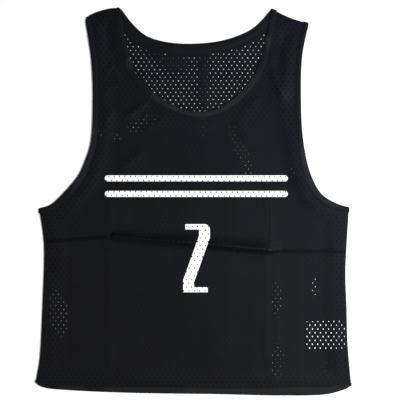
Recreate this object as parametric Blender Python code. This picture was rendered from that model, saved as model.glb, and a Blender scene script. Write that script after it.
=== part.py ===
"""Mesh training bib lying flat: front panel over back panel, with bound neck, armholes and hem.

Sizes are in millimetres and the meshes are written in metres. +X is the wearer's left, +Y runs to
the neck and +Z is up from the surface that the bib lies on. The cut is described by its middle
surface in plan. Outlines run counterclockwise as seen from above, so the cloth is on their left.
"""

import math
from dataclasses import dataclass

import bmesh
import bpy
import numpy as np
from mathutils import Vector
from mathutils.geometry import delaunay_2d_cdt

MM = 0.001

# Cloth and sewing
WALL = 1.1  # cloth of the panels
GAP = 0.3  # between pieces that are sewn together or lie on each other
LEG = 1.0  # each leg of a binding
NOSE = 0.85  # corner cut off the folded edge of a binding
LABEL_WALL = 1.0
SLOT_DEPTH = 1.3  # from a binding's folded edge to the bottom of its slot
FOLD_RADIUS = 2.2  # of the cloth's middle, round the sides and shoulders

# Levels of the cloth's middle over the surface below
HALF_BINDING = WALL / 2 + GAP + LEG
BACK_REST = WALL / 2
BACK_EDGE = HALF_BINDING
FRONT_REST = 2.8
FRONT_EDGE = BACK_EDGE + 2 * FOLD_RADIUS
FRONT_SCOOP = BACK_REST + WALL / 2 + GAP + HALF_BINDING
FOLD_LEVEL = BACK_EDGE + FOLD_RADIUS
LABEL_OVER_BACK = WALL / 2 + GAP + LABEL_WALL / 2
FRONT_OVER_LABEL = BACK_REST + LABEL_OVER_BACK + LABEL_WALL / 2 + GAP + WALL / 2
EDGE_HELD = 20.0  # width of the rim that keeps its level
EDGE_EASE = 30.0  # width over which it sinks to rest

# Spacing of mesh points
EDGE_STEP = 13.0
HEM_STEP = 19.0
FOLD_STEP = 17.0
GRID_STEP = 17.0
ROW_MARGIN = 3.0  # from a binding's inner edge to the panel's second row of points
TURN_ANGLES = (36.0, 72.0, 108.0, 144.0)  # of a binding's stations round a fold, degrees
ROLL_ANGLES = (30.0, 60.0)  # of a panel's rows round a fold, degrees
BLEND = 15.0  # length over which a binding turns square to a fold

# Corners of the bib in plan: ends of the shoulder folds and of the side folds (x, y)
NECK_LEFT = (-119.7, 322.1)
TIP_LEFT = (-180.9, 300.0)
UNDERARM_LEFT = (-258.0, -12.2)
HEM_LEFT = (-261.8, -309.1)
HEM_RIGHT = (261.8, -310.3)
UNDERARM_RIGHT = (258.2, -10.0)
TIP_RIGHT = (192.3, 295.1)
NECK_RIGHT = (128.7, 320.2)

# Points between the corners that each outline passes through (x, y)
ARMHOLE_LEFT = (
    (-178.0, 278.5),
    (-171.5, 231.5),
    (-169.3, 163.5),
    (-173.3, 96.0),
    (-182.5, 67.0),
    (-193.5, 43.0),
    (-218.5, 13.0),
    (-240.0, -6.5),
)
ARMHOLE_RIGHT = (
    (241.5, -5.5),
    (214.0, 11.0),
    (195.0, 45.5),
    (182.5, 103.5),
    (179.0, 178.5),
    (181.0, 240.5),
    (187.5, 276.5),
)
SIDE_LEFT = ((-252.0, -49.5), (-249.5, -80.0), (-251.8, -166.5), (-257.0, -265.5))
SIDE_RIGHT = ((255.5, -237.5), (254.0, -179.0), (252.0, -121.5), (254.7, -61.5))
HEM = (
    (-247.5, -312.7),
    (-205.5, -316.7),
    (-105.5, -321.0),
    (44.5, -323.3),
    (144.5, -325.4),
    (219.5, -323.6),
    (248.5, -316.5),
)
NECK_FRONT = (
    (121.0, 278.5),
    (109.0, 233.5),
    (83.5, 188.5),
    (41.5, 156.0),
    (7.5, 149.0),
    (-27.5, 157.5),
    (-71.0, 184.5),
    (-99.0, 216.5),
    (-109.5, 251.5),
    (-118.5, 288.0),
)
NECK_BACK = (
    (110.5, 299.0),
    (93.0, 285.0),
    (51.5, 269.0),
    (-0.5, 262.7),
    (-45.5, 265.5),
    (-79.5, 276.0),
    (-104.0, 297.5),
)
SHOULDER_RISE_LEFT = 4.2  # of the shoulder folds between their bindings
SHOULDER_RISE_RIGHT = -0.6

# Binding widths: share of the outline's length, width
ARMHOLE_LEFT_WIDTH = ((0.0, 8.6), (0.55, 9.0), (0.8, 12.0), (1.0, 9.0))
ARMHOLE_RIGHT_WIDTH = ((0.0, 9.0), (0.2, 12.0), (0.45, 9.0), (1.0, 8.6))
HEM_WIDTH = ((0.0, 4.5), (0.22, 9.5), (0.4, 11.5), (0.6, 10.5), (0.85, 16.0), (0.96, 12.0), (1.0, 6.0))
NECK_FRONT_WIDTH = ((0.0, 10.0), (0.25, 12.0), (0.5, 9.5), (0.75, 12.0), (1.0, 10.0))
NECK_BACK_WIDTH = ((0.0, 10.0), (0.25, 14.0), (0.5, 18.0), (0.75, 14.0), (1.0, 10.0))

# Care label, sewn into the side seam and lying inside
LABEL_WIDE = 66.0
LABEL_DEEP = 48.0
LABEL_MIDDLE_Y = -224.5
LABEL_SEAM_X = 252.5
LABEL_TURN = math.radians(1.2)
LABEL_EASE = 26.0


@dataclass(frozen=True)
class Crease:
    """A straight soft ridge, or a trough where the height is negative."""

    start: tuple[float, float]
    end: tuple[float, float]
    half_width: float
    height: float

    def height_at(self, x: float, y: float) -> float:
        along, off = self.place(x, y)
        ends = smooth(min(along, 1.0 - along) / 0.12)
        return self.height * ends * math.exp(-((off / self.half_width) ** 2))

    def place(self, x: float, y: float) -> tuple[float, float]:
        """Share of the length, and the distance to one side."""
        run = np.subtract(self.end, self.start)
        length = float(np.hypot(*run))
        way = np.subtract((x, y), self.start)
        along = float(way @ run) / length**2
        off = float(run[0] * way[1] - run[1] * way[0]) / length
        return along, off

    def points(self) -> list[np.ndarray]:
        """Mesh points that hold its shape."""
        run = np.subtract(self.end, self.start)
        length = float(np.hypot(*run))
        side = np.array([-run[1], run[0]]) / length
        count = max(2, round(length / GRID_STEP))
        spots = []
        for off in (-1.3 * self.half_width, 0.0, 1.3 * self.half_width):
            for i in range(count + 1):
                spots.append(np.add(self.start, run * i / count) + side * off)
        return spots


# Packing creases and the largest wrinkles of the front
CREASES = (
    Crease((-250.0, -68.0), (-120.0, -56.0), 9.0, -0.8),
    Crease((-150.0, -47.0), (140.0, -81.0), 9.0, -0.8),
    Crease((115.0, -80.0), (258.0, -83.0), 9.0, -0.7),
    Crease((129.5, 20.0), (129.5, -82.0), 8.0, 1.3),
    Crease((-142.5, 60.0), (-142.5, -290.0), 9.0, 0.8),
    Crease((137.0, -100.0), (137.0, -290.0), 9.0, 0.8),
    Crease((-132.0, 205.0), (-60.0, 125.0), 10.0, 1.2),
    Crease((150.0, 215.0), (95.0, 130.0), 10.0, 1.2),
)


def smooth(share: float) -> float:
    """Smooth step from 0 to 1."""
    s = min(max(share, 0.0), 1.0)
    return s * s * (3.0 - 2.0 * s)


def unit(vector) -> np.ndarray:
    v = np.asarray(vector, float)
    return v / np.linalg.norm(v)


def curve_through(points, fine: int = 24) -> np.ndarray:
    """Close points on a centripetal Catmull-Rom curve through the given ones."""
    p = [np.asarray(q, float) for q in points]
    p = [2 * p[0] - p[1], *p, 2 * p[-1] - p[-2]]
    drawn = []
    for a, b, c, d in zip(p, p[1:], p[2:], p[3:]):
        ta = 0.0
        tb = ta + math.sqrt(np.linalg.norm(b - a))
        tc = tb + math.sqrt(np.linalg.norm(c - b))
        td = tc + math.sqrt(np.linalg.norm(d - c))
        for i in range(fine):
            t = tb + (tc - tb) * i / fine
            ab = ((tb - t) * a + (t - ta) * b) / (tb - ta)
            bc = ((tc - t) * b + (t - tb) * c) / (tc - tb)
            cd = ((td - t) * c + (t - tc) * d) / (td - tc)
            abc = ((tc - t) * ab + (t - ta) * bc) / (tc - ta)
            bcd = ((td - t) * bc + (t - tb) * cd) / (td - tb)
            drawn.append(((tc - t) * abc + (t - tb) * bcd) / (tc - tb))
    drawn.append(p[-2])
    return np.array(drawn)


def lengths_along(points: np.ndarray) -> np.ndarray:
    return np.concatenate([[0.0], np.cumsum(np.linalg.norm(np.diff(points, axis=0), axis=1))])


def points_at(curve: np.ndarray, distances) -> np.ndarray:
    run = lengths_along(curve)
    return np.stack([np.interp(distances, run, curve[:, i]) for i in (0, 1)], axis=1)


@dataclass
class Fold:
    """A rolled edge between front and back: its curve in plan, its axis and the way out of the bib."""

    curve: np.ndarray
    axis: np.ndarray
    out: np.ndarray
    rise: float

    @classmethod
    def shoulder(cls, start, end, rise: float) -> "Fold":
        """A straight fold between two corners, which rises a little on its way."""
        axis = unit(np.subtract(end, start))
        return cls(curve_through([start, end]), axis, np.array([axis[1], -axis[0]]), rise)

    @classmethod
    def side(cls, start, middle, end) -> "Fold":
        """A fold along Y that follows the bib's side."""
        axis = np.array([0.0, np.sign(end[1] - start[1])])
        return cls(curve_through([start, *middle, end]), axis, np.array([axis[1], -axis[0]]), 0.0)

    @property
    def start(self) -> np.ndarray:
        return self.curve[0]

    @property
    def end(self) -> np.ndarray:
        return self.curve[-1]

    def line(self, first: float, last: float) -> np.ndarray:
        """Its points between the bindings, which are `first` and `last` wide where they cross it."""
        length = lengths_along(self.curve)[-1]
        count = max(2, round((length - first - last) / FOLD_STEP))
        at = np.linspace(first, length - last, count + 1)
        points = points_at(self.curve, at)
        points[0] = self.start + self.axis * first
        points[-1] = self.end - self.axis * last
        lift = np.maximum(np.sin(np.linspace(0.0, math.pi, count + 1)), 0.0) ** 0.7 * self.rise
        return points + lift[:, None] * self.out


@dataclass
class Edge:
    """A bound edge in plan: its stations, the way into the cloth at each, and the binding's width."""

    points: np.ndarray
    inward: np.ndarray
    width: np.ndarray

    @classmethod
    def between(cls, before: Fold, middle, after: Fold, widths, step: float) -> "Edge":
        """The edge from the end of one fold to the start of the next."""
        curve = curve_through([before.end, *middle, after.start])
        length = lengths_along(curve)[-1]
        count = round(length / step)
        at = np.linspace(0.0, length, count + 1)
        points = points_at(curve, at)
        ahead = points_at(curve, np.minimum(at + 1.0, length))
        behind = points_at(curve, np.maximum(at - 1.0, 0.0))
        inward = []
        for i, run in enumerate(ahead - behind):
            tangent = unit(run)
            square = np.array([-tangent[1], tangent[0]])
            first = smooth(1.0 - at[i] / BLEND)
            last = smooth(1.0 - (length - at[i]) / BLEND)
            inward.append(unit((1.0 - first - last) * square - first * before.axis + last * after.axis))
        shares, sizes = zip(*widths)
        return cls(points, np.array(inward), np.interp(at / length, shares, sizes))


class Plan:
    """The bib's outline in plan, and the level of each layer at any place."""

    def __init__(self) -> None:
        self.shoulder_left = Fold.shoulder(NECK_LEFT, TIP_LEFT, SHOULDER_RISE_LEFT)
        self.side_left = Fold.side(UNDERARM_LEFT, SIDE_LEFT, HEM_LEFT)
        self.side_right = Fold.side(HEM_RIGHT, SIDE_RIGHT, UNDERARM_RIGHT)
        self.shoulder_right = Fold.shoulder(TIP_RIGHT, NECK_RIGHT, SHOULDER_RISE_RIGHT)
        self.armhole_left = Edge.between(
            self.shoulder_left, ARMHOLE_LEFT, self.side_left, ARMHOLE_LEFT_WIDTH, EDGE_STEP
        )
        self.hem = Edge.between(self.side_left, HEM, self.side_right, HEM_WIDTH, HEM_STEP)
        self.armhole_right = Edge.between(
            self.side_right, ARMHOLE_RIGHT, self.shoulder_right, ARMHOLE_RIGHT_WIDTH, EDGE_STEP
        )
        self.neck_front = Edge.between(
            self.shoulder_right, NECK_FRONT, self.shoulder_left, NECK_FRONT_WIDTH, EDGE_STEP
        )
        self.neck_back = Edge.between(
            self.shoulder_right, NECK_BACK, self.shoulder_left, NECK_BACK_WIDTH, EDGE_STEP
        )
        self.rim = np.concatenate(
            [
                points_at(curve, np.arange(0.0, lengths_along(curve)[-1], 3.0))
                for curve in (
                    self.shoulder_left.curve,
                    self.armhole_left.points,
                    self.side_left.curve,
                    self.hem.points,
                    self.side_right.curve,
                    self.armhole_right.points,
                    self.shoulder_right.curve,
                )
            ]
        )

    @staticmethod
    def held(points: np.ndarray, x: float, y: float) -> float:
        """1 near the given points, falling to 0 over the ease."""
        near = float(np.min(np.hypot(points[:, 0] - x, points[:, 1] - y)))
        return 1.0 - smooth((near - EDGE_HELD) / EDGE_EASE)

    def back_level(self, x: float, y: float) -> float:
        rim = max(self.held(self.rim, x, y), self.held(self.neck_back.points, x, y))
        return BACK_REST + (BACK_EDGE - BACK_REST) * rim

    def front_level(self, x: float, y: float) -> float:
        rim = max(self.held(self.rim, x, y), self.held(self.neck_back.points, x, y))
        scoop = self.held(self.neck_front.points, x, y)
        label = label_cover(x, y)
        level = max(
            FRONT_REST + (FRONT_EDGE - FRONT_REST) * rim,
            FRONT_REST + (FRONT_SCOOP - FRONT_REST) * scoop,
            FRONT_REST + (FRONT_OVER_LABEL + 1.3 * rim - FRONT_REST) * label,
        )
        free = (1.0 - rim) * (1.0 - scoop) * (1.0 - label)
        return level + free * sum(crease.height_at(x, y) for crease in CREASES)


def label_cover(x: float, y: float) -> float:
    """1 over the care label, falling to 0 around it."""
    off_x = max(LABEL_SEAM_X - LABEL_WIDE - 4.0 - x, 0.0)
    off_y = max(abs(y - LABEL_MIDDLE_Y) - LABEL_DEEP / 2 - 4.0, 0.0)
    return 1.0 - smooth(math.hypot(off_x, off_y) / LABEL_EASE)


@dataclass(frozen=True)
class Colour:
    """A cloth's colour and roughness."""

    name: str
    rgb: tuple[float, float, float]
    roughness: float

    def material(self) -> bpy.types.Material:
        made = bpy.data.materials.new(self.name)
        made.use_nodes = True
        shader = made.node_tree.nodes["Principled BSDF"]
        shader.inputs["Base Color"].default_value = (*self.rgb, 1.0)
        shader.inputs["Roughness"].default_value = self.roughness
        return made


NET = Colour("black polyester net", (0.0110, 0.0123, 0.0152), 0.85)
TAPE = Colour("black polyester tape", (0.0137, 0.0152, 0.0185), 0.8)
SATIN = Colour("white satin label", (0.80, 0.81, 0.83), 0.5)


def write_object(name: str, points, faces, colour: Colour) -> None:
    """Links a closed mesh, given in millimetres, with its faces turned outwards."""
    mesh = bpy.data.meshes.new(name)
    mesh.from_pydata([tuple(c * MM for c in p) for p in points], [], faces)
    body = bmesh.new()
    body.from_mesh(mesh)
    bmesh.ops.recalc_face_normals(body, faces=body.faces)
    body.to_mesh(mesh)
    body.free()
    mesh.materials.append(colour.material())
    bpy.context.scene.collection.objects.link(bpy.data.objects.new(name, mesh))


def thicken(outer, inner, faces) -> tuple[list, list]:
    """Closes two matching surfaces with a rim along their open edges."""
    count = len(outer)
    uses: dict = {}
    for face in faces:
        for a, b in zip(face, face[1:] + face[:1]):
            uses.setdefault(frozenset((a, b)), []).append((a, b))
    closed = [tuple(face) for face in faces]
    closed += [tuple(count + i for i in reversed(face)) for face in faces]
    for ways in uses.values():
        if len(ways) == 1:
            a, b = ways[0]
            closed.append((b, a, count + a, count + b))
    return [*outer, *inner], closed


class Panel:
    """Front or back of the bib, from edge to edge, rolled half way round at its sides and shoulders."""

    def __init__(self, plan: Plan, front: bool) -> None:
        self.up = 1.0 if front else -1.0
        self.level = plan.front_level if front else plan.back_level
        self.plan = plan
        self.neck = plan.neck_front if front else plan.neck_back
        self.creases = CREASES if front else ()
        self.flat: list[np.ndarray] = []
        self.height: list[float] = []
        self.ties: list[tuple[int, int]] = []

    def add(self, point, level: float) -> int:
        self.flat.append(np.asarray(point, float))
        self.height.append(level)
        return len(self.flat) - 1

    def chain(self, indices: list[int]) -> None:
        self.ties += list(zip(indices, indices[1:]))

    def bound_row(self, edge: Edge) -> list[int]:
        """The cut edge inside its binding, and a second row past the binding at the same level."""
        levels = [self.level(*p) for p in edge.points]
        cut = SLOT_DEPTH + GAP
        first = [
            self.add(p + n * cut, z) for p, n, z in zip(edge.points, edge.inward, levels)
        ]
        second = [
            self.add(edge.points[i] + edge.inward[i] * (edge.width[i] + ROW_MARGIN), levels[i])
            for i in range(1, len(levels) - 1)
        ]
        self.chain(second)
        return first

    def fold_row(self, fold: Fold, before: Edge, after: Edge) -> list[int]:
        points = fold.line(before.width[-1] + ROW_MARGIN, after.width[0] + ROW_MARGIN)
        level = FRONT_EDGE if self.up > 0 else BACK_EDGE
        return [self.add(p, level) for p in points]

    def lay_out(self) -> tuple[list[int], list[list[int]]]:
        """Adds the outline and returns it, with the point row of each fold."""
        p = self.plan
        neck = self.bound_row(self.neck)
        shoulder_left = self.fold_row(p.shoulder_left, self.neck, p.armhole_left)
        armhole_left = self.bound_row(p.armhole_left)
        side_left = self.fold_row(p.side_left, p.armhole_left, p.hem)
        hem = self.bound_row(p.hem)
        side_right = self.fold_row(p.side_right, p.hem, p.armhole_right)
        armhole_right = self.bound_row(p.armhole_right)
        shoulder_right = self.fold_row(p.shoulder_right, p.armhole_right, self.neck)
        rows = [neck, shoulder_left, armhole_left, side_left, hem, side_right, armhole_right, shoulder_right]
        outline = [i for row in rows for i in row]
        folds = [
            [neck[-1], *shoulder_left, armhole_left[0]],
            [armhole_left[-1], *side_left, hem[0]],
            [hem[-1], *side_right, armhole_right[0]],
            [armhole_right[-1], *shoulder_right, neck[0]],
        ]
        return outline, folds

    def fill(self, outline: list[int]) -> None:
        """Adds points inside the outline, along the creases first and then on an even grid."""
        rim = np.array([self.flat[i] for i in outline])
        low, high = rim.min(axis=0), rim.max(axis=0)
        tries = [spot for crease in self.creases for spot in crease.points()]
        crease_count = len(tries)
        rows = int((high[1] - low[1]) / (GRID_STEP * 0.87))
        for j in range(1, rows):
            shift = GRID_STEP * (0.5 if j % 2 else 0.0)
            for i in range(1, int((high[0] - low[0]) / GRID_STEP) + 1):
                tries.append(np.array([low[0] + i * GRID_STEP + shift, low[1] + j * GRID_STEP * 0.87]))
        edges = (self.neck, self.plan.armhole_left, self.plan.hem, self.plan.armhole_right)
        for k, spot in enumerate(tries):
            apart = 0.33 * GRID_STEP if k < crease_count else 0.62 * GRID_STEP
            if not inside(rim, spot):
                continue
            if np.min(np.linalg.norm(np.array(self.flat) - spot, axis=1)) < apart:
                continue
            if any(within_binding(edge, spot) for edge in edges):
                continue
            self.add(spot, self.level(*spot))

    def build(self, name: str) -> None:
        outline, folds = self.lay_out()
        self.fill(outline)
        ties = self.ties + list(zip(outline, outline[1:] + outline[:1]))
        spots = [Vector(map(float, p)) for p in self.flat]
        _, _, triangles, origins, _, _ = delaunay_2d_cdt(spots, ties, [], 1, 1e-6)
        faces = [[origins[i][0] for i in t] for t in triangles]
        outer = [(*p, z + self.up * WALL / 2) for p, z in zip(self.flat, self.height)]
        inner = [(*p, z - self.up * WALL / 2) for p, z in zip(self.flat, self.height)]
        ways = (
            self.plan.shoulder_left.out,
            self.plan.side_left.out,
            self.plan.side_right.out,
            self.plan.shoulder_right.out,
        )
        for row, out in zip(folds, ways):
            self.roll(row, out, outer, inner, faces)
        write_object(name, *thicken(outer, inner, faces), NET)

    def roll(self, row: list[int], out: np.ndarray, outer: list, inner: list, faces: list) -> None:
        """Carries a row of points a quarter turn round a fold, to the seam."""
        last = row
        for angle in (*ROLL_ANGLES, None):
            following = []
            for i in row:
                following.append(len(outer))
                for side, surface in ((WALL / 2, outer), (-WALL / 2, inner)):
                    radius = FOLD_RADIUS + side
                    turn = math.acos(GAP / 2 / radius) if angle is None else math.radians(angle)
                    place = self.flat[i] + out * radius * math.sin(turn)
                    surface.append((*place, FOLD_LEVEL + self.up * radius * math.cos(turn)))
            for k in range(len(row) - 1):
                faces.append([last[k], following[k], following[k + 1], last[k + 1]])
            last = following


def inside(polygon: np.ndarray, spot: np.ndarray) -> bool:
    x, y = spot
    found = False
    for a, b in zip(polygon, np.roll(polygon, -1, axis=0)):
        if (a[1] > y) != (b[1] > y) and x < a[0] + (y - a[1]) * (b[0] - a[0]) / (b[1] - a[1]):
            found = not found
    return found


def within_binding(edge: Edge, spot: np.ndarray) -> bool:
    """True where the spot is under the binding or close to the panel's second row."""
    away = np.linalg.norm(edge.points - spot, axis=1)
    i = int(np.argmin(away))
    return away[i] < edge.width[i] + ROW_MARGIN + 0.4 * GRID_STEP


@dataclass
class Station:
    """A binding's section: the middle of its folded edge, the way into the cloth and the way out of it."""

    place: np.ndarray
    inward: np.ndarray
    outward: np.ndarray
    width: float

    def ring(self) -> list[tuple]:
        slot = WALL / 2 + GAP
        section = (
            (self.width, HALF_BINDING),
            (NOSE, HALF_BINDING),
            (0.0, HALF_BINDING - NOSE),
            (0.0, NOSE - HALF_BINDING),
            (NOSE, -HALF_BINDING),
            (self.width, -HALF_BINDING),
            (self.width, -slot),
            (SLOT_DEPTH, -slot),
            (SLOT_DEPTH, slot),
            (self.width, slot),
        )
        return [tuple(self.place + self.inward * n + self.outward * m) for n, m in section]


class Binding:
    """A folded tape round an opening: along the front edge, round a fold, back and round the other."""

    def __init__(self, front: Edge, back: Edge, after: Fold, before: Fold, plan: Plan) -> None:
        there = self.along(front, plan.front_level, 1.0)
        returning = self.along(back, plan.back_level, -1.0)
        over = self.around(after.start, after.axis, after.out, front.width[-1], TURN_ANGLES)
        under = self.around(
            before.end, -before.axis, before.out, front.width[0], tuple(reversed(TURN_ANGLES))
        )
        self.stations = [*there, *over, *reversed(returning), *under]

    @staticmethod
    def along(edge: Edge, level, up: float) -> list[Station]:
        return [
            Station(np.array([*p, level(*p)]), np.array([*n, 0.0]), np.array([0.0, 0.0, up]), float(w))
            for p, n, w in zip(edge.points, edge.inward, edge.width)
        ]

    @staticmethod
    def around(corner, axis, out, width: float, angles) -> list[Station]:
        stations = []
        for angle in angles:
            s, c = math.sin(math.radians(angle)), math.cos(math.radians(angle))
            outward = np.array([out[0] * s, out[1] * s, c])
            place = np.array([*corner, FOLD_LEVEL]) + outward * FOLD_RADIUS
            stations.append(Station(place, np.array([*axis, 0.0]), outward, float(width)))
        return stations

    def build(self, name: str) -> None:
        rings = [station.ring() for station in self.stations]
        size = len(rings[0])
        points = [p for ring in rings for p in ring]
        faces = []
        for i in range(len(rings)):
            here, there = i * size, (i + 1) % len(rings) * size
            for k in range(size):
                n = (k + 1) % size
                faces.append((here + k, here + n, there + n, there + k))
        write_object(name, points, faces, TAPE)


def build_label(plan: Plan) -> None:
    """The care label, lying on the back panel from the side seam inwards."""
    columns, rows = 6, 4
    outer, inner, faces = [], [], []
    for j in range(rows + 1):
        for i in range(columns + 1):
            along = -LABEL_WIDE * i / columns
            across = LABEL_DEEP * (j / rows - 0.5)
            x = LABEL_SEAM_X + along * math.cos(LABEL_TURN) - across * math.sin(LABEL_TURN)
            y = LABEL_MIDDLE_Y + along * math.sin(LABEL_TURN) + across * math.cos(LABEL_TURN)
            z = plan.back_level(x, y) + LABEL_OVER_BACK
            outer.append((x, y, z + LABEL_WALL / 2))
            inner.append((x, y, z - LABEL_WALL / 2))
    for j in range(rows):
        for i in range(columns):
            a = j * (columns + 1) + i
            faces.append([a, a + 1, a + columns + 2, a + columns + 1])
    write_object("care_label", *thicken(outer, inner, faces), SATIN)


def main() -> None:
    for old in list(bpy.data.objects):
        bpy.data.objects.remove(old)
    plan = Plan()
    Panel(plan, front=True).build("front_panel")
    Panel(plan, front=False).build("back_panel")
    neck = Binding(plan.neck_front, plan.neck_back, plan.shoulder_left, plan.shoulder_right, plan)
    neck.build("neck_binding")
    left, right = plan.armhole_left, plan.armhole_right
    Binding(left, left, plan.side_left, plan.shoulder_left, plan).build("armhole_binding_left")
    Binding(right, right, plan.shoulder_right, plan.side_right, plan).build("armhole_binding_right")
    Binding(plan.hem, plan.hem, plan.side_right, plan.side_left, plan).build("hem_binding")
    build_label(plan)


main()
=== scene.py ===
"""Visual model of a mesh training bib that lies flat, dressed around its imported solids.

The bib is two net panels with real holes, sewn at the sides and shoulders and bound with tape at
the neck, the armholes and the hem. Sizes are in millimetres, and a mesh is written in metres. Plan
means the view from straight above. Outlines run counterclockwise, so the cloth is on their left.
"""

import logging
import math
from dataclasses import dataclass
from enum import Enum
from typing import Any

import bmesh
import bpy
import numpy as np
from mathutils import Matrix, Vector


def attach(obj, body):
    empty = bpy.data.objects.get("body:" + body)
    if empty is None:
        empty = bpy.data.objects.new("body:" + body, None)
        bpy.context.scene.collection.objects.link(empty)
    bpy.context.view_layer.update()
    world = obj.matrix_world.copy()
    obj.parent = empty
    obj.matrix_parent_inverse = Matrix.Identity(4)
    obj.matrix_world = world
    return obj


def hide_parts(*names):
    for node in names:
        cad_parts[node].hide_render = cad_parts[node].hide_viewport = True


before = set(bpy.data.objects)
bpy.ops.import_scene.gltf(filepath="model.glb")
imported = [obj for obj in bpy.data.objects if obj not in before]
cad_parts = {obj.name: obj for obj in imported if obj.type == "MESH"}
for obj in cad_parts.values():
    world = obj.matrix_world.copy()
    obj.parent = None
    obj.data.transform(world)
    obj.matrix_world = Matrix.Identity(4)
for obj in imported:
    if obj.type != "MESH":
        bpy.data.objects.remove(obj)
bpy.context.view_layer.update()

log = logging.getLogger("bib")

MM = 0.001
BODY = "root"
SHARP = math.radians(38.0)  # faces that meet at more than this keep a crisp edge

# Corners of the bib in plan: ends of the shoulder folds and of the side folds (x, y)
NECK_LEFT = (-122.6, 322.4)
TIP_LEFT = (-182.3, 304.6)
UNDERARM_LEFT = (-258.0, -12.2)
HEM_LEFT = (-263.9, -307.0)
HEM_RIGHT = (261.8, -310.3)
UNDERARM_RIGHT = (258.2, -10.0)
TIP_RIGHT = (192.3, 295.1)
NECK_RIGHT = (128.7, 320.2)

# Points between the corners that each outline passes through (x, y)
ARMHOLE_LEFT = (
    (-178.0, 278.5),
    (-171.5, 231.5),
    (-169.3, 163.5),
    (-173.3, 96.0),
    (-182.5, 67.0),
    (-193.5, 43.0),
    (-218.5, 13.0),
    (-240.0, -6.5),
)
ARMHOLE_RIGHT = (
    (241.5, -5.5),
    (214.0, 11.0),
    (195.0, 45.5),
    (182.5, 103.5),
    (179.0, 178.5),
    (181.0, 240.5),
    (187.5, 276.5),
)
SIDE_LEFT = ((-252.0, -49.5), (-249.5, -80.0), (-251.8, -166.5), (-257.0, -265.5), (-261.0, -289.0))
SIDE_RIGHT = ((255.5, -237.5), (254.0, -179.0), (252.0, -121.5), (254.7, -61.5))
HEM = (
    (-247.5, -312.7),
    (-205.5, -316.7),
    (-105.5, -321.0),
    (44.5, -323.3),
    (144.5, -325.4),
    (219.5, -323.6),
    (248.5, -316.5),
)
NECK_FRONT = (
    (121.0, 278.5),
    (109.0, 233.5),
    (83.5, 188.5),
    (41.5, 156.0),
    (7.5, 149.0),
    (-27.5, 157.5),
    (-71.0, 184.5),
    (-99.0, 216.5),
    (-109.5, 251.5),
    (-118.5, 288.0),
)
NECK_BACK = (
    (110.5, 299.0),
    (93.0, 285.0),
    (51.5, 269.0),
    (-0.5, 262.7),
    (-45.5, 265.5),
    (-79.5, 276.0),
    (-104.0, 297.5),
)
SHOULDER_RISE_LEFT = 3.6
SHOULDER_RISE_RIGHT = -2.8

# How much each corner is rounded off: start and end of the shoulder or side
SHOULDER_LEFT_CUT = (1.5, 2.4)
SIDE_LEFT_CUT = (0.3, 2.6)
SIDE_RIGHT_CUT = (0.6, 0.3)
SHOULDER_RIGHT_CUT = (0.8, 0.5)
CORNER_REACH = 8.0

# Binding widths: share of the outline's length, width
ARMHOLE_LEFT_WIDTH = ((0.0, 8.6), (0.55, 9.0), (0.8, 12.0), (1.0, 9.0))
ARMHOLE_RIGHT_WIDTH = ((0.0, 9.0), (0.2, 12.0), (0.45, 9.0), (1.0, 8.6))
HEM_WIDTH = ((0.0, 7.4), (0.22, 9.5), (0.4, 11.5), (0.6, 10.5), (0.85, 16.0), (0.96, 12.0), (1.0, 6.0))
NECK_FRONT_WIDTH = ((0.0, 10.0), (0.25, 12.0), (0.5, 9.5), (0.75, 12.0), (1.0, 10.0))
NECK_BACK_WIDTH = ((0.0, 10.0), (0.25, 14.0), (0.5, 18.0), (0.75, 14.0), (1.0, 10.0))

# Cloth, and the levels of its middle over the floor
WALL = 0.45
TAPE_HALF = 0.8  # half of a binding's thickness
SLOT_HALF = 0.3
SLOT_DEPTH = 1.5
CUT_INSET = 2.0  # of the net's cut edge from the binding's folded edge
FOLD_RADIUS = 0.9
BACK_REST = 0.4
BACK_EDGE = TAPE_HALF
FRONT_REST = 1.15
FRONT_EDGE = BACK_EDGE + 2 * FOLD_RADIUS
FRONT_SCOOP = 1.7
FOLD_LEVEL = BACK_EDGE + FOLD_RADIUS
LAYERS_APART = 0.6  # least distance between their middles
EDGE_HELD = 14.0
EDGE_EASE = 32.0
RAIL_HELD = 2.0  # beyond a binding
RAIL_EASE = 22.0

# Slight unevenness: of the back, of the front, and what the front has more above the chest
SWELL_BACK = 0.12
SWELL_FRONT = 0.25
SWELL_MORE = 0.6
CHEST_LOW = 60.0
CHEST_DEEP = 110.0
BROAD_WAVES = (37.0, 61.0, 43.0, 53.0)  # lengths without a common measure, so that nothing repeats
BROAD_BENDS = (1.3, 0.9)
CLOSE_WAVES = (17.0, 23.0, 19.0, 29.0)
CLOSE_SHARE = 0.5

# Net: holes in staggered rows. The back's lie between the front's
HOLE_PITCH = 8.95
HOLE_ROWS = 6.35
HOLE_WIDTH = 2.0
HOLE_HEIGHT = 3.0
HOLE_SIDES = 8
HOLE_FROM_TAPE = 4.6
HOLE_FROM_FOLD = 3.0
PULLED_SHUT = 0.3  # how much smaller the back's holes are
PLAIN_NECK = 20.0  # the back has no open holes this near to its neck edge
FRONT_HOLE = (1.0, 2.0)
BACK_HOLE = (FRONT_HOLE[0] + HOLE_PITCH / 2, FRONT_HOLE[1] + 1.6)

STATION_STEP = 4.0  # between sections of a binding
RIM_STEP = 3.0  # between points that distances from the rim are measured to
FINE_STEP = 2.0  # the same, for the folds of a net
WELD = 0.02  # nearer points of a net become one

Place = tuple[float, float]
Shares = tuple[tuple[float, float], ...]


class Layer(Enum):
    """Which layer of the tube a piece belongs to, as the side that its right side faces."""

    FRONT = 1.0
    BACK = -1.0


def smooth(share: np.ndarray | float) -> np.ndarray | float:
    """Smooth step from 0 to 1."""
    s = np.clip(share, 0.0, 1.0)
    return s * s * (3.0 - 2.0 * s)


def unit(vector: Any) -> np.ndarray:
    """The vector at length 1."""
    v = np.asarray(vector, float)
    return v / np.linalg.norm(v)


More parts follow.
